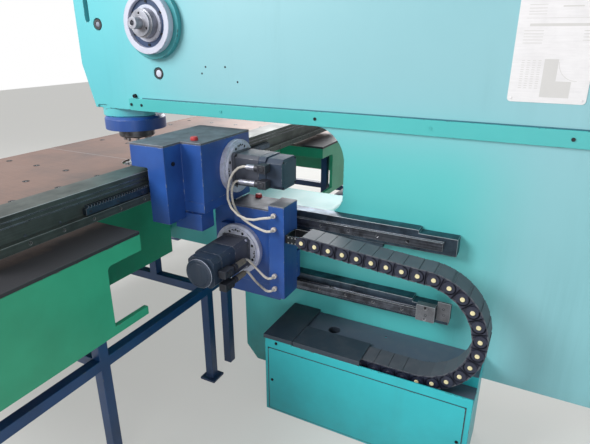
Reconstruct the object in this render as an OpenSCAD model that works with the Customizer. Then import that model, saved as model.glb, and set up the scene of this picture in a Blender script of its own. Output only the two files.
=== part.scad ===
// Turret punch press with a C frame, a sheet table and a carriage that moves the sheet.
// Millimetres, +Z up, standing on z = 0. The beam lies along X and the C frame along Y,
// with the punch head towards -Y. The origin is under the middle of the bounding box.

/* [Overall] */
// Reach of the table in front of the crank's axis
front_reach = 1020; // [900:10:1300]
// Reach of the C frame behind the crank's axis
rear_reach = 2500; // [2350:10:3200]
// Height of the C frame
frame_h = 2100; // [1950:10:2500]
// Height of the table top above the floor
table_h = 920; // [900:1:935]
// Half of the table's width across the press
table_half = 1450; // [1200:10:1900]

/* [C frame] */
// Thickness of the C frame
frame_thk = 250; // [200:5:280]
// Reach of the nose in front of the crank's axis
nose_reach = 495; // [460:5:560]
// Height of the kink in the nose's front edge
nose_kink_z = 1420; // [1300:10:1600]
// Set-back of the nose tip from the front edge
nose_taper = 60; // [20:5:90]
// Height of the underside of the nose
nose_z = 1170; // [1150:1:1200]
// Height of the underside of the upper arm
arm_z = 1212; // [1205:1:1260]
// Depth of the throat behind the crank's axis
throat_depth = 915; // [860:5:1100]
// Height of the throat's floor
throat_floor = 853; // [830:1:870]
// Fillet at the top of the throat
throat_r_top = 140; // [60:5:160]
// Fillet at the bottom of the throat
throat_r_bottom = 80; // [40:5:85]
// Height of the underside of the lower arm
arm_bottom = 578; // [540:2:600]
// Reach of the lower arm in front of the crank's axis
arm_reach = 450; // [430:5:470]
// Height of the seat under the lower turret
seat_z = 740; // [700:2:760]
// End of that seat in front of the crank's axis
seat_end = 130; // [110:5:140]
// Front edge of the lower body behind the crank's axis
body_front = 420; // [400:5:440]
// Length of the front foot
foot_len = 830; // [700:10:900]
// Length of the rear foot
rear_foot_len = 450; // [300:10:500]
// Height of the arch between the feet
arch_z = 257; // [150:5:300]
// Chamfer at the toe of the front foot
toe = 60; // [20:5:80]

/* [Trim] */
// Height of the side strip
strip_h = 57; // [40:1:70]
// Thickness of the side strip
strip_thk = 12; // [8:1:16]
// Start of the side strip in front of the crank's axis
strip_start = 196; // [150:2:250]
// Width of the data plate
plate_w = 229; // [180:1:260]
// Height of the data plate
plate_h = 360; // [250:5:420]
// Start of the data plate behind the crank's axis
plate_u = 1484; // [1400:5:1600]
// Height of the data plate's lower edge
plate_z = 1348; // [1300:5:1400]

/* [Crank] */
// Height of the crank's axis
crank_z = 1600; // [1560:5:1700]
// Radius of the crank's bearing housing
hub_r = 150; // [130:1:180]
// Thickness of the bearing housing
hub_thk = 26; // [20:1:40]
// Radius of the crank's shaft where it shows
shaft_r = 60; // [50:1:64]
// Length of the shaft outside the housing
shaft_out = 57; // [45:1:120]
// Radius of the ram
ram_r = 18; // [14:1:18]
// Stroke of the ram
ram_stroke = 30; // [20:1:34]

/* [Turret] */
// Distance of the ram in front of the crank's axis
punch_reach = 238; // [230:1:246]
// Distance from the ram to the turret's axis, and the radius of the turret's tool circle
tool_circle_r = 62; // [58:1:66]
// Radius of the turret discs
turret_r = 90; // [86:1:96]
// Number of tool stations
stations = 8; // [6:1:9]
// Thickness of the upper disc
upper_disc_h = 60; // [50:1:70]
// Thickness of the lower disc
lower_disc_h = 62; // [50:1:66]
// Gap between the punch holders and the dies, where the sheet goes
sheet_gap = 120; // [112:1:124]
// Radius of a tool holder
holder_r = 15; // [10:1:16]

/* [Beam] */
// Half of the beam's length
beam_half = 1250; // [1150:10:1400]
// Front face of the beam behind the crank's axis
beam_u = 170; // [160:1:180]
// Depth of the beam
beam_depth = 110; // [100:1:112]
// Height of the beam's underside above the table top
beam_lift = 29; // [24:1:34]
// Height of the beam
beam_h = 118; // [110:1:120]
// Travel of the beam to each side
x_travel = 550; // [400:10:560]
// Size of the rail behind the beam
x_rail_w = 28; // [22:1:30]
// Number of sheet clamps
clamps = 3; // [2:1:4]
// Pitch of the sheet clamps
clamp_pitch = 520; // [400:10:700]

/* [Carriage] */
// Near face of the carriage plate
plate_x = 275; // [265:1:277]
// Thickness of the carriage plate
carriage_thk = 30; // [20:1:32]
// Start of the carriage behind the crank's axis
carriage_u = 450; // [440:2:460]
// Length of the carriage along the rails
carriage_len = 250; // [236:2:260]
// Height of the two rails' centres
rail_zs = [530, 822];
// Height of a rail bar
rail_bar_h = 80; // [60:1:86]
// Thickness of a rail bar
rail_bar_thk = 55; // [50:1:60]
// Width of a guide rail
guide_w = 34; // [25:1:45]
// Height of a guide rail
guide_h = 25; // [20:1:28]
// Start of the rails behind the crank's axis
rail_u = 400; // [385:5:410]
// Rear end of the rails behind the crank's axis
rail_end = 1395; // [1350:5:1480]
// Travel of the carriage towards the throat's end
y_travel = 500; // [400:10:505]
// Width of a motor's body
motor_w = 130; // [110:1:140]
// Radius of a motor's flange
flange_r = 110; // [100:1:114]
// Thickness of a motor's flange
flange_thk = 30; // [20:1:34]
// Length of a motor's body
motor_len = 225; // [180:5:260]

/* [Cable chain] */
// Pitch of the chain's links
link_pitch = 56; // [48:1:60]
// Height of a link
link_h = 55; // [40:1:56]
// Width of the chain
chain_w = 100; // [80:1:110]
// Thickness of a link's side wall
link_wall = 10; // [8:0.5:12]
// Links in the half turn
bend_links = 12; // [11:1:13]
// Links in the upper run
upper_links = 8; // [6:1:9]
// Links in the lower run
lower_links = 6; // [4:1:7]
// Height of the axis of the chain's bend above the cabinet's top
bend_z = 183; // [170:1:220]
// Far face of the chain
chain_x = 287; // [280:1:295]

/* [Cabinet] */
// Near face of the cable cabinet
cabinet_x = 413; // [400:1:430]
// Start of the cabinet behind the crank's axis
cabinet_u = 702; // [690:2:740]
// Length of the cabinet
cabinet_len = 841; // [780:1:900]
// Height of the cabinet
cabinet_h = 380; // [360:1:400]
// Length of the cover at the cabinet's front end
cover_len = 125; // [110:5:200]

/* [Hidden] */
$fn = 64;

// Running and seating clearances
gap = 0.3;
fit = 0.05;
eps = 1;

// Place of the crank's axis along Y, so that the origin is in the middle of the press
axis_y = -(rear_reach - front_reach) / 2;

side_x = frame_thk / 2;
hub_face = side_x + hub_thk;

// Heights in the turret
die_top = table_h;
punch_bottom = die_top + sheet_gap;
upper_disc_z = punch_bottom + 20;
upper_disc_top = upper_disc_z + upper_disc_h;
lower_disc_z = die_top - 8 - lower_disc_h;
punch_u = -punch_reach;
turret_u = punch_u - tool_circle_r;
hood_r = turret_r + 62;
post_r = 20;
die_post_r = 30;
ram_tip = upper_disc_top + ram_stroke + 15;

// Table and its apron
table_thk = 12;
table_z = table_h - table_thk;
table_rear = 425;
channel_front = 130;
channel_x = 770;
apron_h = 314;
notch_top = table_z - 60;
apron_thk = 20;
apron_z = table_z - apron_h;

// Beam
beam_z = table_h + beam_lift;
beam_rear = beam_u + beam_depth;
x_rail_z = beam_z + 6;
rack_m = 4;
rack_pitch = PI * rack_m;
rack_fill = 0.36;
x_rack_z = beam_z + 66;
x_pinion_teeth = 15;
x_pinion_r = x_pinion_teeth * rack_m / 2;
x_motor_x = 260;
x_motor_z = x_rack_z + x_pinion_r;

// Gearbox that drives the beam
box_x = side_x + 20;
box_mid_x = 480;
box_near_x = 578;
box_u = beam_u + 57;
box_rear = 485;
box_z = 940;
box_top = 1168;
notch_u = beam_rear + 25;
notch_z = beam_z + beam_h + 18;
lid_thk = 8;

// Rails, carriage and the gearbox that drives it
bar_face = side_x + rail_bar_thk;
guide_face = bar_face + guide_h;
plate_back = plate_x - carriage_thk;
carriage_end = carriage_u + carriage_len;
carriage_z = 470;
y_box_top = 885;
y_box_x = plate_x + 30;
y_box_u = 500;
y_motor_u = 525;
y_motor_z = 700;
y_pinion_teeth = 24;
y_pinion_r = y_pinion_teeth * rack_m / 2;
y_rack_z = y_motor_z + y_pinion_r;
bracket_u = 715;
bracket_len = 68;
bracket_z = 551;
bracket_h = 389;
bracket_top = bracket_z + bracket_h;
bracket_x = 387;
gland_u = 742;
gland_zs = [906, 850, 650, 594];

// Cable chain
bend_r = link_pitch / 2 / sin(90 / bend_links);
bend_u = 1320;
run_slope = 4.5;
pin_r = 6;
ear_r = 24;

// Cabinet
cabinet_back = side_x + 4;
cabinet_end = cabinet_u + cabinet_len;
tray_thk = 4;
bend_axis_z = cabinet_h + bend_z;
tray_top = bend_axis_z - bend_r * cos(run_slope) - link_h / 2 - gap;
trough_x = [chain_x - 4, cabinet_x - 8];
cabinet_step = cabinet_u + cover_len;
shelf_z = cabinet_h - 10;
wall_z = cabinet_h - 20;
shelf_holes = [[236, 943, 26], [186, 1156, 5]];

// Routes of the motor cables, from the connector to the gland
x_power_path = [
  [352, 600, 1073], [352, 586, 1073], [358, 566, 1066], [369, 549, 1048], [380, 537, 1018],
  [386, 531, 980], [388, 531, 942], [388, 545, 907], [390, 578, 882], [396, 620, 874],
  [406, 662, 881], [416, 694, 894], [421, 718, 902], [421, 732, 905], [416, 740, 906],
  [408, 742, 906], [399, 742, 906]
];
x_signal_path = [
  [352, 562, 1010], [352, 551, 1010], [356, 541, 1000], [362, 535, 980], [366, 535, 953],
  [368, 541, 920], [368, 556, 889], [368, 583, 862], [373, 617, 848], [384, 652, 842],
  [400, 686, 843], [414, 712, 846], [421, 728, 849], [417, 739, 850], [409, 742, 850],
  [399, 742, 850]
];
y_power_path = [
  [406, 610, 697], [394, 610, 697], [383, 614, 690], [377, 626, 674], [377, 646, 658],
  [385, 670, 648], [400, 694, 645], [414, 714, 647], [421, 729, 649], [417, 739, 650],
  [409, 742, 650], [399, 742, 650]
];
y_signal_path = [
  [406, 608, 642], [394, 608, 642], [383, 612, 633], [377, 622, 616], [377, 640, 598],
  [384, 664, 588], [398, 690, 586], [413, 712, 588], [421, 728, 592], [417, 739, 594],
  [409, 742, 594], [399, 742, 594]
];

turquoise = "#6CC5CC";
green = "#3B9A78";
blue = "#2B55B0";
dark_blue = "#26365C";
steel = "#B4B8BC";
dark_steel = "#33383C";
motor_grey = "#55565F";
white = "#E8EAF0";

// Moves a piece from the crank's axis to its place in the press
module at_axis() {
  translate([0, axis_y, 0]) children();
}

// A box between two corners
module block(a, b) {
  translate(a) cube(b - a);
}

// A profile in the Y and Z plane, extruded along X from x0 to x1
module along_x(x0, x1) {
  translate([x0, 0, 0]) rotate([90, 0, 90]) linear_extrude(x1 - x0) children();
}

// A profile in the X and Z plane, extruded along Y from u0 to u1
module along_y(u0, u1) {
  translate([0, u1, 0]) rotate([90, 0, 0]) linear_extrude(u1 - u0) children();
}

// A cylinder along X
module rod_x(x0, x1, u, z, r) {
  translate([x0, u, z]) rotate([0, 90, 0]) cylinder(r = r, h = x1 - x0);
}

// A cylinder along Y
module rod_y(x, u0, u1, z, r) {
  translate([x, u0, z]) rotate([-90, 0, 0]) cylinder(r = r, h = u1 - u0);
}

// The shape between a square corner at p and its arc, on the side that dir points to
module corner(p, dir, r) {
  translate(p)
    mirror([dir.x < 0 ? 1 : 0, 0])
      mirror([0, dir.y < 0 ? 1 : 0])
        difference() {
          translate([-eps, -eps]) square(r + eps);
          translate([r, r]) circle(r);
        }
}

// A rectangle with round corners
module round_rect(w, h, r) {
  translate([r, 0]) square([w - 2 * r, h]);
  translate([0, r]) square([w, h - 2 * r]);
  for (x = [r, w - r], y = [r, h - r]) translate([x, y]) circle(r);
}

// A rack along the first axis, with its pitch line at zero and a gap at the origin
module rack_profile(from, to, back) {
  half = rack_pitch * rack_fill / 2;
  slope = rack_m * tan(20);
  root = -1.25 * rack_m;
  first = ceil(from / rack_pitch);
  last = floor(to / rack_pitch) - 1;
  points = [
    for (k = [first : last])
      let (c = (k + 0.5) * rack_pitch)
      each [
        [c - half - 1.25 * slope, root], [c - half + slope, rack_m],
        [c + half - slope, rack_m], [c + half + 1.25 * slope, root]
      ]
  ];
  polygon(concat([[from, root]], points, [[to, root], [to, -back], [from, -back]]));
}

// A gear with a tooth on the positive side of the first axis
module gear_profile(teeth) {
  r = teeth * rack_m / 2;
  step = 360 / teeth;
  half = rack_fill * step / 2;
  lean = rack_m * tan(20) / r * 180 / PI;
  points = [
    for (k = [0 : teeth - 1])
      let (c = k * step)
      each [
        [r - 1.25 * rack_m, c - half - lean], [r + rack_m * 0.9, c - half + lean],
        [r + rack_m * 0.9, c + half - lean], [r - 1.25 * rack_m, c + half + lean]
      ]
  ];
  polygon([for (p = points) p.x * [cos(p.y), sin(p.y)]]);
}

// Body: the C frame, one thick plate cut to a C with two feet
module frame_outline() {
  foot_end = body_front + foot_len;
  rear_foot = rear_reach - rear_foot_len;
  difference() {
    union() {
      polygon([
        [body_front + toe, 0], [body_front, toe * 1.2], [body_front, arm_bottom],
        [-arm_reach, arm_bottom], [-arm_reach, seat_z], [-seat_end, seat_z],
        [-seat_end, throat_floor], [throat_depth, throat_floor], [throat_depth, arm_z],
        [nose_taper - nose_reach, arm_z], [-nose_reach, nose_kink_z],
        [-nose_reach, frame_h], [rear_reach, frame_h], [rear_reach, 0],
        [rear_foot, 0], [rear_foot, arch_z], [foot_end, arch_z], [foot_end, 0]
      ]);
      corner([throat_depth, arm_z], [-1, -1], throat_r_top);
      corner([throat_depth, throat_floor], [-1, 1], throat_r_bottom);
      corner([body_front, arm_bottom], [-1, -1], 60);
      corner([foot_end, arch_z], [1, -1], 60);
      corner([rear_foot, arch_z], [-1, -1], 60);
      corner([-seat_end, seat_z], [-1, 1], 20);
    }
    corner([rear_reach, frame_h], [-1, -1], 80);
    corner([-nose_reach, frame_h], [1, -1], 80);
    corner([-arm_reach, arm_bottom], [1, 1], 60);
    corner([-arm_reach, seat_z], [1, -1], 15);
    corner([-seat_end, throat_floor], [1, -1], 15);
  }
}

// Slot near the top of the nose and the round ports that the plugs close
grab_slot = [-415, 1690];
plug_spots = [[-352, 1600], [-5, 1388]];
plug_r = 24;

module c_frame() {
  lip_r = frame_thk / 2;
  lip_u = -nose_reach + nose_taper + lip_r - 30;
  color(turquoise) at_axis()
    difference() {
      union() {
        along_x(-side_x, side_x) frame_outline();
        translate([0, 0, nose_z])
          linear_extrude(arm_z - nose_z + eps)
            hull() {
              translate([0, lip_u]) circle(lip_r, $fn = 96);
              translate([0, punch_u]) circle(ram_r + 40);
            }
      }
      translate([0, punch_u, nose_z - eps]) cylinder(r = ram_r + 15, h = 380);
      rod_x(side_x - 110, side_x + eps, 0, crank_z, shaft_r + 12);
      along_x(side_x - 30, side_x + eps)
        translate([grab_slot.x - 14, grab_slot.y - 80]) round_rect(28, 200, 13);
      for (p = plug_spots) rod_x(side_x - 14, side_x + eps, p.x, p.y, plug_r + 3);
      along_x(side_x - 8, side_x + eps)
        translate([-420, 1205]) round_rect(64, 22, 10.5);
    }
}

module side_strip() {
  end = rear_reach - 40;
  color(turquoise) at_axis()
    difference() {
      along_x(side_x, side_x + strip_thk)
        translate([-strip_start, arm_z + gap]) round_rect(end + strip_start, strip_h, 10);
      for (u = strip_screws()) rod_x(side_x + 4, side_x + 30, u, arm_z + strip_h / 2, 5);
    }
}

function strip_screws() = [for (u = [-117 : 454 : rear_reach - 100]) u];

panel_screws = [[cabinet_u + 34, 164], [cabinet_end - 36, 165]];

module cover_screws() {
  color(dark_steel) at_axis() {
    for (u = strip_screws())
      rod_x(side_x + 4, side_x + strip_thk + 2, u, arm_z + strip_h / 2, 4.95);
    for (p = panel_screws) rod_x(cabinet_x + 3, cabinet_x + 6, p.x, p.y, 6);
    rod_x(cabinet_x, cabinet_x + 3, cabinet_u + 54, cabinet_h - 30, 6);
  }
}

module frame_plugs() {
  color(white) at_axis()
    for (p = plug_spots) rod_x(side_x - 14, side_x - 3, p.x, p.y, plug_r);
}

module data_plate() {
  color(steel) at_axis()
    along_x(side_x, side_x + 2)
      translate([plate_u, plate_z]) round_rect(plate_w, plate_h, 12);
}

// The crank: its bearing housing on the frame's side, and the shaft end that shows
module hub_housing() {
  color(turquoise) at_axis()
    difference() {
      rod_x(side_x, hub_face, 0, crank_z, hub_r);
      rod_x(side_x - eps, hub_face + eps, 0, crank_z, shaft_r + 12);
    }
}

module ring_x(x0, x1, outer, inner) {
  difference() {
    rod_x(x0, x1, 0, crank_z, outer);
    rod_x(x0 - eps, x1 + eps, 0, crank_z, inner);
  }
}

module hub_rings() {
  color(white) at_axis() {
    ring_x(hub_face, hub_face + 33, hub_r - 23, hub_r - 50);
    ring_x(hub_face, hub_face + 25, shaft_r + 16, shaft_r + fit);
  }
}

module hub_cover() {
  color(dark_blue) at_axis()
    ring_x(hub_face, hub_face + 18, hub_r - 50 - gap, shaft_r + 16 + gap);
}

module crank_shaft() {
  end = hub_face + shaft_out;
  color(dark_steel) at_axis()
    difference() {
      union() {
        rod_x(side_x - 100, end, 0, crank_z, shaft_r);
        rod_x(end, end + 12, 0, crank_z, shaft_r - 7);
        rod_x(end + 12, end + 56, 0, crank_z, 24);
      }
      rod_x(end + 36, end + 56 + eps, 0, crank_z, 11);
      for (a = [90, 210, 330])
        rod_x(end - 12, end + 12 + eps, 40 * cos(a), crank_z + 40 * sin(a), 5);
    }
}

module ram_guide() {
  color(steel) at_axis()
    translate([0, punch_u, nose_z])
      difference() {
        cylinder(r = ram_r + 15 - fit, h = 140);
        translate([0, 0, -eps]) cylinder(r = ram_r + fit, h = 142);
      }
}

module ram() {
  color(steel) at_axis()
    translate([0, punch_u, ram_tip]) {
      cylinder(r1 = ram_r - 4, r2 = ram_r, h = 4);
      translate([0, 0, 4]) cylinder(r = ram_r, h = 300);
    }
}

// The turret: two discs on one axis, one over and one under the sheet
module turret_hood() {
  top = nose_z - gap;
  bottom = nose_z - 66;
  color(blue) at_axis()
    difference() {
      translate([0, turret_u, 0])
        rotate_extrude($fn = 96)
          polygon([
            [post_r + 12, top], [hood_r - 12, top], [hood_r, top - 12], [hood_r, bottom],
            [hood_r - 5, bottom], [hood_r - 5, top - 14], [hood_r - 14, top - 5], [post_r + 12, top - 5]
          ]);
      translate([0, punch_u, top - 10]) cylinder(r = ram_r + 5, h = 20);
    }
}

module turret_post() {
  color(dark_steel) at_axis()
    translate([0, turret_u, 0]) {
      translate([0, 0, upper_disc_z - 12]) cylinder(r = post_r + 10, h = 12 - gap);
      translate([0, 0, upper_disc_z - 1]) cylinder(r = post_r, h = nose_z - upper_disc_z + 1);
      translate([0, 0, nose_z - 12]) cylinder(r = post_r + 10, h = 12);
    }
}

// Stations of a disc, the one under the ram first
module at_stations() {
  for (k = [0 : stations - 1])
    translate([0, turret_u, 0])
      rotate([0, 0, 90 + k * 360 / stations])
        translate([tool_circle_r, 0, 0]) children();
}

module upper_turret() {
  color(dark_steel) at_axis()
    difference() {
      translate([0, turret_u, upper_disc_z])
        rotate_extrude($fn = 96)
          polygon([
            [post_r + fit, 0], [turret_r - 6, 0], [turret_r, 6], [turret_r, upper_disc_h - 6],
            [turret_r - 6, upper_disc_h], [post_r + fit, upper_disc_h]
          ]);
      at_stations() translate([0, 0, upper_disc_z - eps]) cylinder(r = holder_r, h = 100, $fn = 32);
    }
}

module punch_holders() {
  color(steel) at_axis()
    at_stations() {
      translate([0, 0, punch_bottom]) cylinder(r = holder_r * 0.6, h = 20 + eps, $fn = 32);
      translate([0, 0, upper_disc_z])
        cylinder(r = holder_r - fit, h = upper_disc_h + 8, $fn = 32);
    }
}

module turret_base() {
  top = lower_disc_z - gap;
  color(green) at_axis() {
    difference() {
      union() {
        translate([0, turret_u, seat_z]) cylinder(r = turret_r - 10, h = top - seat_z);
        translate([0, turret_u, top - eps]) cylinder(r = die_post_r, h = lower_disc_h + eps);
      }
      translate([0, turret_u, top - 20]) cylinder(r = die_post_r - 16, h = 120);
    }
  }
}

module lower_turret() {
  color(dark_steel) at_axis()
    difference() {
      translate([0, turret_u, lower_disc_z])
        rotate_extrude($fn = 96)
          polygon([
            [die_post_r + fit, 0], [turret_r - 6, 0], [turret_r, 6], [turret_r, lower_disc_h - 6],
            [turret_r - 6, lower_disc_h], [die_post_r + fit, lower_disc_h]
          ]);
      at_stations() translate([0, 0, lower_disc_z + 20]) cylinder(r = holder_r, h = 100, $fn = 32);
    }
}

module die_holders() {
  color(steel) at_axis()
    at_stations()
      translate([0, 0, lower_disc_z + 20])
        difference() {
          cylinder(r = holder_r - fit, h = die_top - lower_disc_z - 20, $fn = 32);
          translate([0, 0, die_top - lower_disc_z - 45]) cylinder(r = holder_r * 0.4, h = 30, $fn = 32);
        }
}

// The table: two plates, each on a welded apron, with room for the turret and the carriage
module table_half_outline() {
  seam = gap / 2;
  difference() {
    polygon([
      [seam, -front_reach], [table_half, -front_reach], [table_half, table_rear],
      [channel_x, table_rear], [channel_x, channel_front], [seam, channel_front]
    ]);
    translate([0, turret_u]) circle(turret_r + 4, $fn = 96);
    corner([table_half, -front_reach], [-1, 1], 30);
    corner([table_half, table_rear], [-1, -1], 30);
    for (x = [320 : 220 : table_half - 100], u = [-front_reach + 90 : 220 : -20])
      translate([x, u]) circle(9, $fn = 24);
  }
}

module table_tops() {
  color("#A88A7C") at_axis()
    for (side = [0, 1])
      mirror([side, 0, 0])
        translate([0, 0, table_z]) linear_extrude(table_thk) table_half_outline();
}

// Rear web of an apron, with the notch beside the carriage's channel
module apron_rear_outline() {
  notch_w = 155;
  notch_low = apron_z + 32;
  translate([channel_x, 0]) {
    difference() {
      translate([0, apron_z]) square([table_half - channel_x, apron_h]);
      translate([-eps, notch_low]) square([notch_w + eps, notch_top - notch_low]);
    }
    corner([notch_w, notch_top], [-1, -1], 18);
  }
}

module apron() {
  inner = 290;
  t = apron_thk;
  top = table_z;
  along_y(table_rear - t, table_rear) apron_rear_outline();
  block([inner, -front_reach, apron_z], [table_half, -front_reach + t, top]);
  block([table_half - t, -front_reach, apron_z], [table_half, table_rear, top]);
  block([inner, -front_reach, apron_z], [inner + t, channel_front, top]);
  block([inner, channel_front - t, apron_z], [channel_x + t, channel_front, top]);
  block([channel_x, channel_front - t, notch_top], [channel_x + t, table_rear, top]);
  for (u = [-arm_reach + 30, -40])
    block([side_x + gap, u, seat_z - 120], [inner + eps, u + t, seat_z - 20]);
}

module near_apron() {
  color(green) at_axis() apron();
}

module far_apron() {
  color(green) at_axis() mirror([1, 0, 0]) apron();
}

// Blue stand of welded tubes under each half of the table
module floor_frame() {
  rail_z = 460;
  rail_h = 40;
  w = 40;
  rear = 340;
  front = -front_reach + 60;
  leg_xs = [330, 935, table_half - 60];
  for (x = leg_xs) {
    for (u = [front, rear]) {
      block([x, u, 0], [x + w, u + w, rail_z]);
      block([x - 20, u - 20, 0], [x + w + 20, u + w + 20, 12]);
    }
    block([x, front, rail_z], [x + w, rear + w, rail_z + rail_h]);
  }
  for (u = [front, rear])
    block([180, u, rail_z], [table_half - 20, u + w, rail_z + rail_h]);
  block([180, rear, 0], [180 + w, rear + w, rail_z + rail_h]);
  posts = [
    [leg_xs[0], front], [leg_xs[2], front], [leg_xs[0], 50], [leg_xs[1], rear], [leg_xs[2], rear]
  ];
  for (p = posts)
    block([p.x, p.y, rail_z + rail_h - eps], [p.x + w, p.y + w, table_z]);
}

module near_floor_frame() {
  color(blue) at_axis() floor_frame();
}

module far_floor_frame() {
  color(blue) at_axis() mirror([1, 0, 0]) floor_frame();
}

// Rails on the frame's side, one over the other
module y_rail_bars() {
  color(dark_steel) at_axis()
    for (z = rail_zs) {
      block([side_x, rail_u, z - rail_bar_h / 2], [bar_face, rail_end, z + 30]);
      block([side_x, rail_u, z + 30 - eps], [bar_face, rail_end - 145, z + 43]);
    }
}

module guide_profile() {
  w = guide_w;
  h = guide_h;
  polygon([
    [-w / 2, 0], [w / 2, 0], [w / 2, h * 0.4], [w * 0.36, h * 0.55],
    [w / 2, h * 0.7], [w / 2, h], [-w / 2, h], [-w / 2, h * 0.7],
    [-w * 0.36, h * 0.55], [-w / 2, h * 0.4]
  ]);
}

// The guide rail's profile, standing out along X and running along Y
module y_guide_rails() {
  color(steel) at_axis()
    for (z = rail_zs)
      difference() {
        translate([bar_face, rail_end - 48, z])
          rotate([90, 0, 0]) linear_extrude(rail_end - rail_u - 58) rotate(-90) guide_profile();
        for (u = [rail_u + 96 : 120 : rail_end - 150])
          rod_x(guide_face - 8, guide_face + eps, u, z, 6);
      }
}

module y_rack() {
  from = rail_u + 20 - y_motor_u;
  to = y_motor_u + y_travel + 80 - y_motor_u;
  top = rail_zs[1] - rail_bar_h / 2;
  color(dark_steel) at_axis()
    along_x(side_x, side_x + 30)
      translate([y_motor_u, y_rack_z])
        mirror([0, 1]) rack_profile(from, to, top - y_rack_z);
}

module rail_stops() {
  z = rail_zs[0];
  color(steel) at_axis()
    difference() {
      union() {
        block([bar_face + 8, rail_end - 120, z - 23], [guide_face + 14, rail_end - 48, z + 45]);
        block([bar_face, rail_end - 45, z - 20], [bar_face + 12, rail_end + 5, z + 60]);
      }
      block([bar_face - eps, rail_end - 121, z - guide_w / 2 - gap],
        [guide_face + gap, rail_end - 47, z + guide_w / 2 + gap]);
      for (dz = [-13, 33]) rod_x(guide_face + 6, guide_face + 20, rail_end - 85, z + dz, 6);
    }
}

// The cabinet with the trough that the cable chain lies in
module cabinet_body() {
  end = cabinet_end + eps;
  top = cabinet_h + eps;
  color(turquoise) at_axis()
    difference() {
      block([cabinet_back, cabinet_u, 0], [cabinet_x, cabinet_end, cabinet_h]);
      block([trough_x[0], cabinet_u + 12, tray_top - tray_thk], [trough_x[1], end, top]);
      block([cabinet_back - eps, cabinet_step, shelf_z - tray_thk], [trough_x[0] + eps, end, top]);
      block([trough_x[1] - eps, cabinet_step, wall_z], [cabinet_x + eps, end, top]);
      for (p = shelf_holes) translate([p.x, p.y, shelf_z - 60]) cylinder(r = p.z - gap, h = 61);
    }
}

module cabinet_panel() {
  color(turquoise) at_axis()
    along_x(cabinet_x, cabinet_x + 3)
      translate([cabinet_u + 18, 13]) round_rect(cabinet_len - 40, cabinet_h - 73, 6);
}

// Cover of the front end, and the lid over the trough behind it
module cabinet_cover() {
  t = 4;
  lid_u = [cabinet_step + 4, cabinet_step + 293];
  near_x = cabinet_x + 4;
  rear = cabinet_step + gap + 3;
  color(dark_steel) at_axis() {
    block([cabinet_back, cabinet_u - 4, cabinet_h], [near_x, rear, cabinet_h + t]);
    block([cabinet_x + gap, cabinet_u - 4, cabinet_h - 14], [near_x, rear, cabinet_h + t]);
    block([cabinet_back, cabinet_step + gap, cabinet_h - 9], [near_x, rear, cabinet_h + t]);
    block([trough_x[0] - 7, lid_u[0], cabinet_h - 2], [cabinet_x - 1, lid_u[1], cabinet_h + 1]);
    block([trough_x[0] - 7, lid_u[0], shelf_z], [trough_x[0] - 1, lid_u[1], cabinet_h + 1]);
    block([trough_x[1] + 1, lid_u[0], wall_z], [cabinet_x - 1, lid_u[1], cabinet_h + 1]);
  }
}

// Floor of the trough, and the shelf sheet beside it
module cable_tray() {
  color(dark_steel) at_axis() {
    block(
      [trough_x[0] + gap, cabinet_u + 12 + gap, tray_top - tray_thk],
      [trough_x[1] - gap, cabinet_end - 2, tray_top]
    );
    difference() {
      block([cabinet_back, cabinet_step + gap, shelf_z - tray_thk], [trough_x[0], cabinet_end - 2, shelf_z]);
      for (p = shelf_holes) translate([p.x, p.y, 0]) cylinder(r = p.z, h = cabinet_h);
    }
  }
}

// Joints of the cable chain: the half turn, the sloping upper run and the flat lower run
function bend_joint(i) =
  let (a = 180 * i / bend_links - run_slope)
  [bend_u, bend_axis_z] + bend_r * [sin(a), cos(a)];

function run_joint(i) = bend_joint(0) + i * link_pitch * [-cos(run_slope), sin(run_slope)];

function floor_joint(i) = bend_joint(bend_links) - [i * link_pitch, 0];

// One side wall: an outer ear on the first pin and an inner ear on the second
module link_wall_plate() {
  half = link_wall / 2;
  linear_extrude(half - 0.15) link_side(0);
  translate([0, 0, half + 0.15]) linear_extrude(half - 0.15) link_side(1);
  translate([ear_r + 1, -link_h / 2, 0])
    cube([link_pitch - 2 * ear_r - 2, link_h, link_wall]);
}

// Profile of a wall's layer: its own ear at one pin, cut clear of the next link's ear
module link_side(which) {
  own = which == 0 ? link_pitch : 0;
  other = link_pitch - own;
  difference() {
    union() {
      translate([own, 0]) circle(ear_r, $fn = 40);
      translate([own == 0 ? 0 : ear_r + 1, -link_h / 2 + 4])
        square([link_pitch - ear_r - 1, link_h - 8]);
    }
    translate([other, 0]) circle(ear_r + gap, $fn = 40);
    translate([own, 0]) circle(pin_r + fit, $fn = 24);
  }
}

module link() {
  bar = link_pitch - 18;
  wall = link_wall;
  for (s = [0, 1])
    translate([0, 0, s * chain_w]) mirror([0, 0, s]) link_wall_plate();
  for (z = [-link_h / 2, link_h / 2 - 5])
    translate([9, z, wall - eps]) cube([bar, 5, chain_w - 2 * wall + 2 * eps]);
}

// Link from joint a to joint b, given in the Y and Z plane
module link_between(a, b) {
  d = b - a;
  translate([chain_x, a.x, a.y])
    rotate([90, 0, 90]) rotate([0, 0, atan2(d.y, d.x)]) link();
}

// The two pins of a joint, with their round heads outside the walls
module pin_at(p) {
  for (s = [0, 1])
    translate([s * (2 * chain_x + chain_w), 0, 0])
      mirror([s, 0, 0]) {
        rod_x(chain_x - gap - 2, chain_x + link_wall, p.x, p.y, pin_r);
        rod_x(chain_x - gap - 2, chain_x - gap, p.x, p.y, pin_r + 3);
      }
}

module chain_upper() {
  color("#25263A") at_axis()
    for (i = [0 : upper_links - 1]) {
      link_between(run_joint(i), run_joint(i + 1));
      pin_at(run_joint(i + 1));
    }
}

module chain_bend() {
  color("#25263A") at_axis()
    for (i = [0 : bend_links - 1]) link_between(bend_joint(i + 1), bend_joint(i));
}

module bend_pins() {
  color("#D8CDA0") at_axis()
    for (i = [0 : bend_links]) pin_at(bend_joint(i));
}

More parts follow.
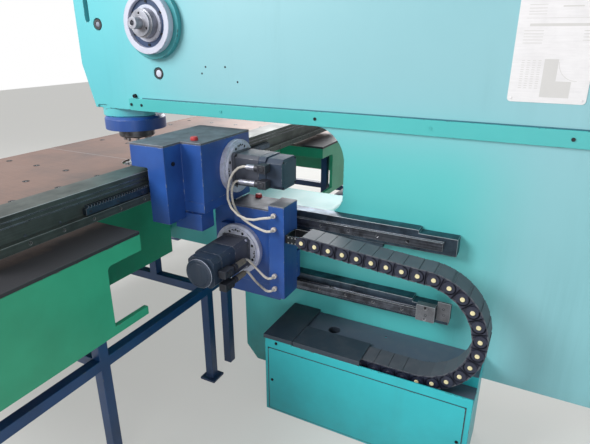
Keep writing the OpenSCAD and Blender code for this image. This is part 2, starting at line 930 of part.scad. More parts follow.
module chain_lower() {
  color("#25263A") at_axis()
    for (i = [0 : lower_links - 1]) {
      link_between(floor_joint(i + 1), floor_joint(i));
      pin_at(floor_joint(i + 1));
    }
}

module chain_end_bracket() {
  p = floor_joint(lower_links);
  color(steel) at_axis() {
    block([chain_x + 11, p.x - 70, tray_top + gap], [chain_x + chain_w - 11, p.x - 20, tray_top + 5]);
    for (x = [chain_x + link_wall + gap, chain_x + chain_w - link_wall - 4])
      block([x, p.x - 60, tray_top + gap], [x + 4, p.x - gap, p.y + 14]);
  }
}

module chain_clip() {
  p = run_joint(upper_links);
  rear = bracket_u + bracket_len;
  color(steel) at_axis() {
    for (x = [chain_x + link_wall + gap, chain_x + chain_w - link_wall - 4])
      block([x, rear, p.y - 16], [x + 4, p.x + 14, p.y + 16]);
    block([chain_x + 11, rear, p.y - 16], [chain_x + chain_w - 11, rear + 5, p.y + 16]);
  }
}

// The carriage: a plate on four blocks, with a console under the beam's gearbox
module carriage_plate() {
  console_u = 380;
  ear = [bracket_u + bracket_len, 600, 720];
  color(blue) at_axis()
    difference() {
      along_x(plate_back, plate_x)
        polygon([
          [console_u, 600], [carriage_u, 600], [carriage_u, carriage_z],
          [carriage_end, carriage_z], [carriage_end, ear[1]], [ear[0], ear[1]],
          [ear[0], ear[2]], [carriage_end, ear[2]], [carriage_end, y_box_top],
          [carriage_u, y_box_top], [carriage_u, box_z - 40], [console_u, box_z - 40]
        ]);
      rod_x(plate_back - eps, plate_x + eps, y_motor_u, y_motor_z, 26);
    }
}

module rail_blocks() {
  w = guide_w + 46;
  len = 90;
  color(steel) at_axis()
    for (z = rail_zs, u = [carriage_u + 4, carriage_end - len - 4])
      difference() {
        block([bar_face + 8, u, z - w / 2], [plate_back, u + len, z + w / 2]);
        block(
          [bar_face + 8 - eps, u - eps, z - guide_w / 2 - gap],
          [guide_face + gap, u + len + eps, z + guide_w / 2 + gap]
        );
      }
}

module y_gearbox() {
  low_u = 430;
  low_top = 800;
  color(blue) at_axis()
    difference() {
      along_x(plate_x, y_box_x)
        polygon([
          [low_u, 550], [carriage_end, 550], [carriage_end, y_box_top],
          [y_box_u, y_box_top], [y_box_u, low_top], [low_u, low_top]
        ]);
      rod_x(plate_x - eps, y_box_x + eps, y_motor_u, y_motor_z, 15 + fit);
    }
}

// Flat lids on both gearboxes and on the cable bracket
module gearbox_lids() {
  color(dark_steel) at_axis() {
    block([bar_face - 20, y_box_u - 20, y_box_top], [y_box_x, carriage_end + 10, y_box_top + lid_thk]);
    block([plate_x, bracket_u, bracket_top], [bracket_x, bracket_u + bracket_len, bracket_top + 4]);
    translate([0, 0, box_top])
      linear_extrude(lid_thk)
        polygon([
          [box_x, box_u], [box_near_x, box_u], [box_near_x, 390],
          [box_mid_x, 390], [box_mid_x, box_rear], [box_x, box_rear]
        ]);
  }
}

module gearbox_caps() {
  color("#C23A3A") at_axis()
    for (p = [[176, 545, y_box_top + lid_thk], [435, 422, box_top + lid_thk]])
      translate(p) {
        cylinder(r = 15, h = 10);
        translate([0, 0, 10]) cylinder(r1 = 15, r2 = 12, h = 4);
      }
}

module flange_disc() {
  difference() {
    union() {
      cylinder(r = flange_r, h = flange_thk - 8);
      translate([0, 0, flange_thk - 8 - eps]) cylinder(r = flange_r - 14, h = 8 + eps);
    }
    for (a = [0 : 45 : 315])
      rotate([0, 0, a + 22.5]) translate([flange_r - 26, 0, flange_thk - 10]) cylinder(r = 6, h = 20);
    translate([0, 0, -eps]) cylinder(r = 15 + fit, h = flange_thk + 2 * eps);
  }
}

module motor_flanges() {
  color("#8E9088") at_axis() {
    translate([x_motor_x, box_rear, x_motor_z]) rotate([-90, 0, 0]) flange_disc();
    translate([y_box_x, y_motor_u, y_motor_z]) rotate([0, 90, 0]) flange_disc();
  }
}

// A servo motor with its axis along Z: front plate, body, rear housing and round end cap
module servo(len, round_end) {
  w = motor_w;
  r = 16;
  linear_extrude(14) translate([-w / 2 - 4, -w / 2 - 4]) round_rect(w + 8, w + 8, r);
  linear_extrude(len - 70) translate([-w / 2, -w / 2]) round_rect(w, w, r);
  translate([0, 0, len - 70 + gap])
    linear_extrude(round_end ? 48 : 70 - gap)
      translate([-w / 2 + 4, -w / 2 + 4]) round_rect(w - 8, w - 8, 22);
  translate([0, 0, len - 70]) cylinder(r = w / 2 - 12, h = 4);
  if (round_end) {
    translate([0, 0, len - 22]) cylinder(r = w / 2 - 6, h = 18);
    translate([0, 0, len - 4]) cylinder(r1 = w / 2 - 6, r2 = w / 2 - 12, h = 4);
  }
}

module x_motor() {
  color(motor_grey) at_axis()
    translate([x_motor_x, box_rear + flange_thk, x_motor_z]) rotate([-90, 0, 0])
      servo(motor_len, false);
}

module y_motor() {
  color(motor_grey) at_axis()
    translate([y_box_x + flange_thk, y_motor_u, y_motor_z])
      rotate([0, 90, 0]) servo(motor_len + 40, true);
}

// Plug bodies on the motors' sides, where the cables come out
module motor_connectors() {
  x_face = x_motor_x + motor_w / 2;
  y_face = y_motor_u + motor_w / 2;
  color("#7C7D84") at_axis() {
    for (p = [[1073, 600], [1010, 562]]) {
      rod_y(x_face + 27, p.y, 640, p.x, 9);
      rod_y(x_face + 27, 639, 656, p.x, 14);
      block([x_face, 655, p.x - 17], [x_face + 42, 693, p.x + 17]);
    }
    for (p = [[697, 610], [642, 608]]) {
      rod_x(406, 470, p.y, p.x, 9);
      rod_x(469, 500, p.y, p.x, 14);
      block([499, y_face, p.x - 16], [560, y_face + 34, p.x + 16]);
    }
  }
}

module cable_bracket() {
  color(blue) at_axis()
    difference() {
      block([plate_x, bracket_u, bracket_z], [bracket_x, bracket_u + bracket_len, bracket_top]);
      for (z = gland_zs) rod_x(bracket_x - 20, bracket_x + eps, gland_u, z, 8);
    }
}

module cable_glands() {
  color("#B8AFA0") at_axis()
    for (z = gland_zs) {
      rod_x(bracket_x - 20, bracket_x + 5, gland_u, z, 8 - fit);
      rod_x(bracket_x + 5, bracket_x + 12, gland_u, z, 10);
    }
}

// The gearbox that the beam runs through, on a shelf on the carriage's console
module x_saddle() {
  color(blue) at_axis() {
    block([box_x + 5, 310, box_z - 40], [box_mid_x, box_rear - 1, box_z]);
    block([400, 335, box_z - 118], [box_mid_x, 466, box_z - 48]);
    block([404, 341, box_z - 49], [box_mid_x - 10, 460, box_z - 39]);
  }
}

module x_gearbox() {
  color(blue) at_axis()
    difference() {
      union() {
        along_x(box_x, box_mid_x) gearbox_outline(box_rear, box_z);
        along_x(box_mid_x, box_near_x) gearbox_outline(390, box_z - 70);
      }
      rod_y(x_motor_x, notch_u - eps, box_rear + eps, x_motor_z, 12 + fit);
    }
}

module gearbox_outline(rear, low) {
  polygon([
    [notch_u, low], [rear, low], [rear, box_top],
    [box_u, box_top], [box_u, notch_z], [notch_u, notch_z]
  ]);
}

module x_guide_blocks() {
  color(steel) at_axis()
    for (x = [box_x + 4, box_near_x - 104])
      difference() {
        block([x, beam_rear + 3, x_rail_z - 3], [x + 100, notch_u, x_rail_z + x_rail_w + 3]);
        block([x - eps, beam_rear + 3 - eps, x_rail_z - gap],
          [x + 101, notch_u - 5 + gap, x_rail_z + x_rail_w + gap]);
      }
}

module y_pinion() {
  color(steel) at_axis()
    translate([0, y_motor_u, y_motor_z]) {
      along_x(side_x + 4, side_x + 26) rotate(90) gear_profile(y_pinion_teeth);
      rod_x(side_x + 26 - eps, y_box_x + flange_thk - 2, 0, 0, 15);
    }
}

module x_pinion() {
  color(steel) at_axis()
    translate([x_motor_x, 0, x_motor_z]) {
      along_y(beam_rear + 2, notch_u - 2) rotate(-90) gear_profile(x_pinion_teeth);
      rod_y(0, notch_u - 3, box_rear + flange_thk - 2, 0, 12);
    }
}

// The beam that carries the sheet clamps, with its rail and rack
module x_beam() {
  t = 10;
  slot = 12;
  color(dark_steel) at_axis()
    difference() {
      block([-beam_half, beam_u, beam_z], [beam_half, beam_rear, beam_z + beam_h]);
      for (z = [beam_z + 30, beam_z + beam_h - 30])
        block([-beam_half - eps, beam_u - eps, z - slot / 2], [beam_half + eps, beam_u + t, z + slot / 2]);
      for (s = [-1, 1])
        block([s * beam_half - 60, beam_u + 20, beam_z + 20],
          [s * beam_half + 60, beam_rear - 20, beam_z + beam_h - 20]);
    }
}

module x_rail() {
  half = beam_half - 20;
  color(steel) at_axis()
    difference() {
      block([-half, beam_rear, x_rail_z], [half, notch_u - 5, x_rail_z + x_rail_w]);
      for (x = [-half + 35 : 120 : half])
        rod_y(x, notch_u - 12, notch_u, x_rail_z + x_rail_w / 2, 5.5);
    }
}

module x_rack() {
  color(dark_steel) at_axis()
    translate([x_motor_x, 0, x_rack_z])
      along_y(beam_rear, beam_rear + 18)
        rack_profile(-x_travel - 60, x_travel + 60, 66 - x_rail_w - 6 - 4);
}

// Sheet clamps on the beam's front, each with a lower jaw and a hinged upper jaw
clamp_z = 934;
clamp_w = 110;
jaw_pivot = [150, 982];

module at_clamps() {
  for (k = [0 : clamps - 1])
    translate([(k - (clamps - 1) / 2) * clamp_pitch, 0, 0]) children();
}

module clamp_bodies() {
  w = clamp_w / 2;
  color("#3E4348") at_axis()
    at_clamps()
      difference() {
        union() {
          along_x(-w, w)
            polygon([
              [70, clamp_z], [beam_u, clamp_z], [beam_u, 1050], [150, 1050], [132, 1030],
              [132, 962], [110, clamp_z + 12], [70, clamp_z + 8]
            ]);
        }
        block([-w + 14, 125, 962], [w - 14, beam_u - 8, 1010]);
        rod_x(-w - eps, w + eps, jaw_pivot.x, jaw_pivot.y, 6);
      }
}

module clamp_jaws() {
  w = clamp_w / 2 - 14 - gap;
  color(steel) at_axis()
    at_clamps() {
      along_x(-w, w)
        polygon([
          [68, clamp_z + 12], [104, clamp_z + 16], [126, 964], [150, 966], [158, 976],
          [158, 990], [148, 996], [118, 990], [72, clamp_z + 24]
        ]);
      rod_x(-w - 12, w + 12, jaw_pivot.x, jaw_pivot.y, 5.95);
    }
}

// A ring of eight points round a cable's route, and the tube through all its rings
function unit(v) = v / norm(v);

function tangent(path, i) =
  unit(path[min(i + 1, len(path) - 1)] - path[max(i - 1, 0)]);

function ring(path, i, r, sides) =
  let (
    t = tangent(path, i),
    a = unit(cross(t, [0.35, 0.1, 0.93])),
    b = cross(t, a)
  )
  [for (k = [0 : sides - 1]) path[i] + r * (cos(360 * k / sides) * a + sin(360 * k / sides) * b)];

module tube(path, r) {
  sides = 8;
  n = len(path);
  points = [for (i = [0 : n - 1]) each ring(path, i, r, sides)];
  walls = [
    for (i = [0 : n - 2], k = [0 : sides - 1])
      let (a = i * sides + k, b = i * sides + (k + 1) % sides)
      each [[a, b, b + sides], [a, b + sides, a + sides]]
  ];
  ends = [
    [for (k = [sides - 1 : -1 : 0]) k],
    [for (k = [0 : sides - 1]) (n - 1) * sides + k]
  ];
  polyhedron(points = points, faces = concat(walls, ends));
}

module motor_cable(path) {
  color("#9C9A94") at_axis() tube(path, 5);
}

module x_motor_cables() {
  motor_cable(x_power_path);
  motor_cable(x_signal_path);
}

module y_motor_cables() {
  motor_cable(y_power_path);
  motor_cable(y_signal_path);
}

c_frame();
side_strip();
cover_screws();
frame_plugs();
data_plate();
hub_housing();
hub_rings();
hub_cover();
ram_guide();
turret_hood();
turret_post();
turret_base();
table_tops();
near_apron();
far_apron();
near_floor_frame();
far_floor_frame();
y_rail_bars();
y_guide_rails();
y_rack();
rail_stops();
cabinet_body();
cabinet_panel();
cabinet_cover();
cable_tray();
chain_end_bracket();
crank_shaft();
ram();
upper_turret();
punch_holders();
lower_turret();
die_holders();
carriage_plate();
rail_blocks();
y_gearbox();
gearbox_lids();
gearbox_caps();
motor_flanges();
x_motor();
y_motor();
motor_connectors();
cable_bracket();
cable_glands();
x_saddle();
x_gearbox();
x_guide_blocks();
chain_clip();
x_motor_cables();
y_motor_cables();
y_pinion();
x_pinion();
x_beam();
x_rail();
x_rack();
clamp_bodies();
clamp_jaws();
chain_upper();
chain_bend();
bend_pins();
chain_lower();
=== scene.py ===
import math

import bmesh
import bpy
from mathutils import Matrix, Vector


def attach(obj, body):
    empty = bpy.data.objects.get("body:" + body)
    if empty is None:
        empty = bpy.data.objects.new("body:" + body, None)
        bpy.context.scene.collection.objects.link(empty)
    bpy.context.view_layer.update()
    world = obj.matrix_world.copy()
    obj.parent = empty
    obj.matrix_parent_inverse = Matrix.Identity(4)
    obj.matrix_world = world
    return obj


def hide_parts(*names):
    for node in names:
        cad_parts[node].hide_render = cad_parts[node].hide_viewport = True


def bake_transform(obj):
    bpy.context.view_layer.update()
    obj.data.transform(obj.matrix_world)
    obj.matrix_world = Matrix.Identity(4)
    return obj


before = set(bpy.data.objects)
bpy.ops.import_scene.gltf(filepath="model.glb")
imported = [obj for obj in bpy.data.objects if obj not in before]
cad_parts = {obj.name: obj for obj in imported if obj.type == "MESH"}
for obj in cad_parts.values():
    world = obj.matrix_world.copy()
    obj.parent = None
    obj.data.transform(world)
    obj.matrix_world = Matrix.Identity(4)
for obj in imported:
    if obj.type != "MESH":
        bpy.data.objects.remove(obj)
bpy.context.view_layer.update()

# --- C frame -------------------------------------------------------------------------
# One thick steel plate cut to a C with two feet, its edges ground round and the whole
# sprayed with turquoise two-pack enamel, a little uneven and dusty near the floor.


def linear(code):
    """An sRGB hex code as a linear colour."""
    values = [int(code[i : i + 2], 16) / 255 for i in (1, 3, 5)]
    return [v / 12.92 if v < 0.04045 else ((v + 0.055) / 1.055) ** 2.4 for v in values] + [1.0]


axis_to_centre = 740  # the crank's axis lies this far in front of the part's centre


def at(x, u, z):
    """A point from millimetres: across the press, behind the crank's axis, above the floor."""
    return Vector((x / 1000, (u - axis_to_centre) / 1000, z / 1000))


def add(tree, kind, inputs=None, **settings):
    """Adds a node with its settings, and links or sets its inputs."""
    made = tree.nodes.new(kind)
    for key, value in settings.items():
        setattr(made, key, value)
    for socket, value in (inputs or {}).items():
        if isinstance(value, bpy.types.NodeSocket):
            tree.links.new(value, made.inputs[socket])
        else:
            made.inputs[socket].default_value = value
    return made


def started(name):
    """A new material, its node tree and shader, and the place on the object in metres."""
    made = bpy.data.materials.new(name)
    made.use_nodes = True
    tree = made.node_tree
    place = add(tree, "ShaderNodeTexCoord").outputs["Object"]
    return made, tree, tree.nodes["Principled BSDF"], place


def enamel(name, colour, deep, bare, rough=0.36, patch_mm=420, streak=0.35, soiled=0.5, painted_light_tone=None):
    """Sprayed enamel on steel: patches of tone, runs of grime, chipped edges and orange peel, and, where a
    light tone is given, painted light high up and painted shade low down.
    """
    made, tree, shader, place = started(name)
    # The coat's thickness changes over a hand's spray pass, a few hundred millimetres
    passes = add(
        tree, "ShaderNodeTexNoise",
        {"Vector": place, "Scale": 1000 / patch_mm, "Detail": 4.0, "Roughness": 0.55},
    )
    tone = add(
        tree, "ShaderNodeMapRange",
        {"Value": passes.outputs["Fac"], "From Min": 0.3, "From Max": 0.7},
    )
    coat = add(
        tree, "ShaderNodeMix",
        {0: tone.outputs["Result"], 6: linear(colour), 7: linear(deep)}, data_type="RGBA",
    )
    height = add(tree, "ShaderNodeSeparateXYZ", {"Vector": place})
    # Painted light: the coat is paler over the throat from the bearing to the rear, and again
    # behind the rails
    if painted_light_tone:
        along = add(
            tree, "ShaderNodeMapRange",
            {"Value": height.outputs["Y"], "From Min": -1.1, "From Max": -0.35},
            interpolation_type="SMOOTHSTEP",
        )
        # Painted shade: low down, round the rails, the coat takes a greener, darker tone
        for way, start, stop, share, tone_there in (
            ("Z", 0.7, 1.5, along.outputs["Result"], painted_light_tone),
            ("Z", 1.35, 1.0, 0.8, "#52C2C0"),
            ("Y", 0.55, 0.95, 0.85, painted_light_tone),
        ):
            light_and_shade_zone = add(
                tree, "ShaderNodeMapRange",
                {"Value": height.outputs[way], "From Min": start, "From Max": stop, "To Max": share},
                interpolation_type="SMOOTHSTEP",
            )
            coat = add(
                tree, "ShaderNodeMix",
                {0: light_and_shade_zone.outputs["Result"], 6: coat.outputs[2], 7: linear(tone_there)},
                data_type="RGBA",
            )
    # Grime runs down in streaks about 25 mm wide and far longer, in some places only
    runs_place = add(tree, "ShaderNodeMapping", {"Vector": place, "Scale": (1.0, 1.0, 0.07)})
    runs = add(
        tree, "ShaderNodeTexNoise",
        {"Vector": runs_place.outputs["Vector"], "Scale": 1000 / 95, "Detail": 6.0, "Roughness": 0.65},
    )
    here = add(
        tree, "ShaderNodeTexNoise", {"Vector": place, "Scale": 1000 / 700, "Detail": 2.0}
    )
    here_on = add(
        tree, "ShaderNodeMapRange",
        {"Value": here.outputs["Fac"], "From Min": 0.45, "From Max": 0.62, "To Max": streak},
    )
    runs_on = add(
        tree, "ShaderNodeMapRange",
        {"Value": runs.outputs["Fac"], "From Min": 0.5, "From Max": 0.8, "To Max": here_on.outputs["Result"]},
    )
    grey = add(
        tree, "ShaderNodeMix",
        {0: runs_on.outputs["Result"], 6: coat.outputs[2], 7: linear(bare)}, data_type="RGBA",
    )
    # Splashes and dust gather over the lowest 300 mm
    splash = add(
        tree, "ShaderNodeTexNoise",
        {"Vector": place, "Scale": 1000 / 70, "Detail": 6.0, "Roughness": 0.65},
    )
    low = add(
        tree, "ShaderNodeMapRange",
        {"Value": height.outputs["Z"], "From Min": 0.32, "From Max": 0.0, "To Max": soiled},
    )
    low_on = add(
        tree, "ShaderNodeMath",
        {0: low.outputs["Result"], 1: splash.outputs["Fac"]}, operation="MULTIPLY",
    )
    dusty = add(
        tree, "ShaderNodeMix",
        {0: low_on.outputs[0], 6: grey.outputs[2], 7: linear("#4A4A44")}, data_type="RGBA",
    )
    # Edges are rubbed through where hands and sheets pass, in chips of 5 to 20 mm
    edge = add(tree, "ShaderNodeAttribute", attribute_name="edge")
    chips = add(
        tree, "ShaderNodeTexNoise",
        {"Vector": place, "Scale": 1000 / 22, "Detail": 5.0, "Roughness": 0.7},
    )
    chipped = add(
        tree, "ShaderNodeMapRange",
        {"Value": chips.outputs["Fac"], "From Min": 0.54, "From Max": 0.6},
    )
    rubbed = add(
        tree, "ShaderNodeMath",
        {0: edge.outputs["Fac"], 1: chipped.outputs["Result"]}, operation="MULTIPLY",
    )
    final = add(
        tree, "ShaderNodeMix",
        {0: rubbed.outputs[0], 6: dusty.outputs[2], 7: linear(bare)}, data_type="RGBA",
    )
    tree.links.new(final.outputs[2], shader.inputs["Base Color"])
    dull = add(
        tree, "ShaderNodeMapRange",
        {"Value": splash.outputs["Fac"], "To Min": rough - 0.08, "To Max": rough + 0.14},
    )
    tree.links.new(dull.outputs["Result"], shader.inputs["Roughness"])
    # Orange peel of about 4 mm over plate that waves by hand widths
    peel = add(tree, "ShaderNodeTexNoise", {"Vector": place, "Scale": 1000 / 4, "Detail": 2.0})
    wave = add(tree, "ShaderNodeTexNoise", {"Vector": place, "Scale": 1000 / 190, "Detail": 2.0})
    waved = add(
        tree, "ShaderNodeBump",
        {"Height": wave.outputs["Fac"], "Strength": 0.25, "Distance": 0.004},
    )
    peeled = add(
        tree, "ShaderNodeBump",
        {
            "Height": peel.outputs["Fac"], "Strength": 0.12, "Distance": 0.0006,
            "Normal": waved.outputs["Normal"],
        },
    )
    tree.links.new(peeled.outputs["Normal"], shader.inputs["Normal"])
    return made


def rounded(bm, width, segments=2, edges=None):
    """Rounds the sharp edges by width in millimetres, and marks the new faces as edges."""
    layer = bm.faces.layers.float.get("edge") or bm.faces.layers.float.new("edge")
    sharp_from = math.radians(35)
    sharp = [
        e for e in (edges or bm.edges)
        if len(e.link_faces) == 2 and e.calc_face_angle(0) > sharp_from
    ]
    made = bmesh.ops.bevel(
        bm, geom=sharp, offset=width / 1000, offset_type="OFFSET", affect="EDGES",
        segments=segments, profile=0.5, material=-1, clamp_overlap=False,
    )
    for face in made["faces"]:
        face[layer] = 1.0


def shown(bm, name, finish, body, replaces=()):
    """Makes the finished piece from its bmesh, and puts it on its CAD body, if one is named."""
    mesh = bpy.data.meshes.new(name)
    bm.to_mesh(mesh)
    bm.free()
    mesh.shade_smooth()
    mesh.set_sharp_from_angle(angle=math.radians(38))
    mesh.materials.append(finish)
    piece = bpy.data.objects.new(name, mesh)
    bpy.context.scene.collection.objects.link(piece)
    even = piece.modifiers.new("even normals", "WEIGHTED_NORMAL")
    even.keep_sharp = True
    if replaces:
        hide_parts(*replaces)
    if body:
        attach(piece, body)
    return piece


def dressed(node, name, finish, body, width, segments=2):
    """A CAD node's own shape in a finish, its triangles merged and its edges rounded."""
    bm = bmesh.new()
    bm.from_mesh(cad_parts[node].data)
    bmesh.ops.remove_doubles(bm, verts=bm.verts[:], dist=2e-6)
    bmesh.ops.dissolve_limit(
        bm, angle_limit=math.radians(0.6), use_dissolve_boundaries=False,
        verts=bm.verts[:], edges=bm.edges[:], delimit=set(),
    )
    rounded(bm, width, segments)
    shown(bm, name, finish, body, [node])


# Sprayed two-pack enamel: a half-gloss coat with an orange peel that breaks its highlights
# The paler tone high on the frame and the greener one low down are painted light and shade
turquoise = enamel(
    "turquoise_enamel_on_plate", "#6CC5CD", "#5DBBC5", "#4F858C", patch_mm=900, streak=0.3,
    soiled=0.85, painted_light_tone="#8DC0C9",
)
dressed("c_frame", "frame_plate", turquoise, "frame", 3, segments=3)

# --- Side strip ----------------------------------------------------------------------
# A flat steel bar with round ends along the frame's side over the throat, in a greener
# coat of the same enamel. Cap screws hold it, some black oxide and some sprayed over.
strip_coat = enamel(
    "side_strip_enamel", "#52BBBB", "#45B1B2", "#3F7078", patch_mm=600, streak=0.2, soiled=0
)
dressed("side_strip", "side_strip_bar", strip_coat, "frame", 1.5)


def turned(bm, centre, axis, outline, steps=32):
    """Turns an outline of (radius, distance along the axis) in millimetres round an axis."""
    axis = Vector(axis).normalized()
    side = axis.orthogonal().normalized()
    verts = [bm.verts.new(centre + (side * r + axis * along) / 1000) for r, along in outline]
    edges = [bm.edges.new(pair) for pair in zip(verts, verts[1:])]
    bmesh.ops.spin(
        bm, geom=verts + edges, cent=centre, axis=axis, dvec=(0, 0, 0),
        angle=2 * math.pi, steps=steps, use_merge=True, use_duplicate=False,
    )
    bmesh.ops.remove_doubles(bm, verts=bm.verts[:], dist=1e-6)


def closed(bm):
    """The same bmesh with its faces pointing outwards."""
    bmesh.ops.recalc_face_normals(bm, faces=bm.faces[:])
    return bm


def socket_screw(bm, centre, axis, head, proud, key, steps=18):
    """A cap screw's round head, by its radius and height, with a hexagon socket in it."""
    axis = Vector(axis).normalized()
    turn = Vector((0, 0, 1)).rotation_difference(axis).to_matrix().to_4x4()
    place = Matrix.Translation(centre + axis * proud / 2000) @ turn
    made = bmesh.ops.create_cone(
        bm, cap_ends=True, cap_tris=False, segments=steps, radius1=head / 1000,
        radius2=head / 1000, depth=proud / 1000, matrix=place,
    )["verts"]
    faces = {f for v in made for f in v.link_faces}
    top = max(faces, key=lambda f: f.calc_center_median().dot(axis))
    bmesh.ops.inset_region(bm, faces=[top], thickness=(head - key) / 1000, depth=0)
    # The inner ring's points move out onto the socket's six flats
    middle = centre + axis * proud / 1000
    for v in top.verts:
        arm = turn.inverted() @ (v.co - middle)
        turned_by = math.atan2(arm.y, arm.x) % (math.pi / 3) - math.pi / 6
        v.co = middle + (v.co - middle) * (math.cos(math.pi / 6) / math.cos(turned_by))
    sunk = bmesh.ops.extrude_discrete_faces(bm, faces=[top])["faces"][0]
    bmesh.ops.translate(bm, verts=sunk.verts[:], vec=-axis * min(proud, 3.0) * 0.7 / 1000)


def machined(
    name, colour, stain, rough=0.34, grain=(120.0, 120.0, 1.2), edge_light=0.5, metal=1.0,
    stained=0.6, stain_mm=60, lined=(0.82, 1.12),
):
    """Steel as it comes off a machine: fine lines along one way, stains, and bright edges.

    grain is the length of the lines' pattern each way in millimetres, lined the darkest and
    the lightest line, and metal under 1 is a surface that scale, paint or an oxide covers.
    """
    made, tree, shader, place = started(name)
    # Tool marks: real lines are some 0.2 mm apart, drawn at 1.2 mm so that they show
    lines_place = add(
        tree, "ShaderNodeMapping", {"Vector": place, "Scale": tuple(1000 / mm for mm in grain)}
    )
    lines = add(
        tree, "ShaderNodeTexNoise",
        {"Vector": lines_place.outputs["Vector"], "Scale": 1.0, "Detail": 3.0, "Roughness": 0.6},
    )
    # Oil and rust stains
    stains = add(
        tree, "ShaderNodeTexNoise",
        {"Vector": place, "Scale": 1000 / stain_mm, "Detail": 7.0, "Roughness": 0.62},
    )
    stain_on = add(
        tree, "ShaderNodeMapRange",
        {"Value": stains.outputs["Fac"], "From Min": 0.42, "From Max": 0.66, "To Max": stained},
    )
    shade = add(
        tree, "ShaderNodeMix",
        {0: stain_on.outputs["Result"], 6: linear(colour), 7: linear(stain)}, data_type="RGBA",
    )
    light = add(
        tree, "ShaderNodeMapRange",
        {
            "Value": lines.outputs["Fac"], "From Min": 0.3, "From Max": 0.7,
            "To Min": lined[0], "To Max": lined[1],
        },
    )
    toned = add(
        tree, "ShaderNodeVectorMath",
        {0: shade.outputs[2], "Scale": light.outputs["Result"]}, operation="SCALE",
    )
    edge = add(tree, "ShaderNodeAttribute", attribute_name="edge")
    bright = add(
        tree, "ShaderNodeMath", {0: edge.outputs["Fac"], 1: edge_light}, operation="MULTIPLY"
    )
    final = add(
        tree, "ShaderNodeMix",
        {0: bright.outputs[0], 6: toned.outputs[0], 7: linear("#B9BCC0")}, data_type="RGBA",
    )
    tree.links.new(final.outputs[2], shader.inputs["Base Color"])
    shader.inputs["Metallic"].default_value = metal
    dull = add(
        tree, "ShaderNodeMapRange",
        {"Value": stains.outputs["Fac"], "To Min": rough - 0.1, "To Max": rough + 0.22},
    )
    tree.links.new(dull.outputs["Result"], shader.inputs["Roughness"])
    scored = add(
        tree, "ShaderNodeBump",
        {"Height": lines.outputs["Fac"], "Strength": 0.25, "Distance": 0.0004},
    )
    tree.links.new(scored.outputs["Normal"], shader.inputs["Normal"])
    return made


# Blackened steel: hardly a sheen, and bare grey only where a key has rubbed the edges
black_oxide = machined(
    "black_oxide_steel", "#3A3D42", "#22201E", rough=0.42, grain=(3.0, 3.0, 3.0), edge_light=0.35
)
screws = bmesh.new()
painted_screws = bmesh.new()
frame_side, strip_face, strip_pitch = 125, 137, 454
# Every second screw of the strip was sprayed over with it
for k, u in enumerate(range(-117, 2400, strip_pitch)):
    bm = painted_screws if k % 2 else screws
    socket_screw(bm, at(strip_face, u, 1240.8), (1, 0, 0), head=6.5, proud=2.6, key=3.2)
# The screws of the cabinet and its panel
for x, u, z in ((413, 756, 350), (416, 736, 164), (416, 1507, 165)):
    socket_screw(screws, at(x, u, z), (1, 0, 0), head=6.0, proud=2.8, key=2.9)
# One more at the strip's front end, a long one over it, and four low plugs under the bearing
socket_screw(screws, at(strip_face, -180, 1241), (1, 0, 0), head=6.5, proud=4, key=3.2)
socket_screw(screws, at(frame_side, -158, 1281), (1, 0, 0), head=9, proud=14, key=4)
for u, z in ((262, 1424), (364, 1426), (241, 1396), (424, 1367)):
    turned(screws, at(frame_side, u, z), (1, 0, 0), [(4.5, 0), (3.6, 0.7), (0.01, 0.9)], steps=14)
shown(closed(screws), "cover_cap_screws", black_oxide, "frame", ["cover_screws"])
shown(painted_screws, "painted_over_screws", strip_coat, "frame")

# --- Plugs in the nose ---------------------------------------------------------------
# Two moulded plugs close the round ports, pressed into their seats. Each has a black rim
# round a button: a grey one in the upper plug, an enamelled white one in the lower.


def moulded(name, colour, worn, rough=0.45, soiled=0.5):
    """Moulded plastic: an even colour with spark-eroded grain, dust, and paler rubbed edges."""
    made, tree, shader, place = started(name)
    dust = add(
        tree, "ShaderNodeTexNoise",
        {"Vector": place, "Scale": 1000 / 45, "Detail": 6.0, "Roughness": 0.6},
    )
    dust_on = add(
        tree, "ShaderNodeMapRange",
        {"Value": dust.outputs["Fac"], "From Min": 0.45, "From Max": 0.75, "To Max": soiled},
    )
    dusted = add(
        tree, "ShaderNodeMix",
        {0: dust_on.outputs["Result"], 6: linear(colour), 7: linear(worn)}, data_type="RGBA",
    )
    edge = add(tree, "ShaderNodeAttribute", attribute_name="edge")
    rubbed = add(tree, "ShaderNodeMath", {0: edge.outputs["Fac"], 1: 0.35}, operation="MULTIPLY")
    final = add(
        tree, "ShaderNodeMix",
        {0: rubbed.outputs[0], 6: dusted.outputs[2], 7: linear(worn)}, data_type="RGBA",
    )
    tree.links.new(final.outputs[2], shader.inputs["Base Color"])
    dull = add(
        tree, "ShaderNodeMapRange",
        {"Value": dust.outputs["Fac"], "To Min": rough - 0.08, "To Max": rough + 0.16},
    )
    tree.links.new(dull.outputs["Result"], shader.inputs["Roughness"])
    # The mould's grain is finer than a millimetre, drawn at 1.5 mm so that it shows
    grit = add(tree, "ShaderNodeTexNoise", {"Vector": place, "Scale": 1000 / 1.5, "Detail": 2.0})
    grained = add(
        tree, "ShaderNodeBump",
        {"Height": grit.outputs["Fac"], "Strength": 0.2, "Distance": 0.0003},
    )
    tree.links.new(grained.outputs["Normal"], shader.inputs["Normal"])
    return made


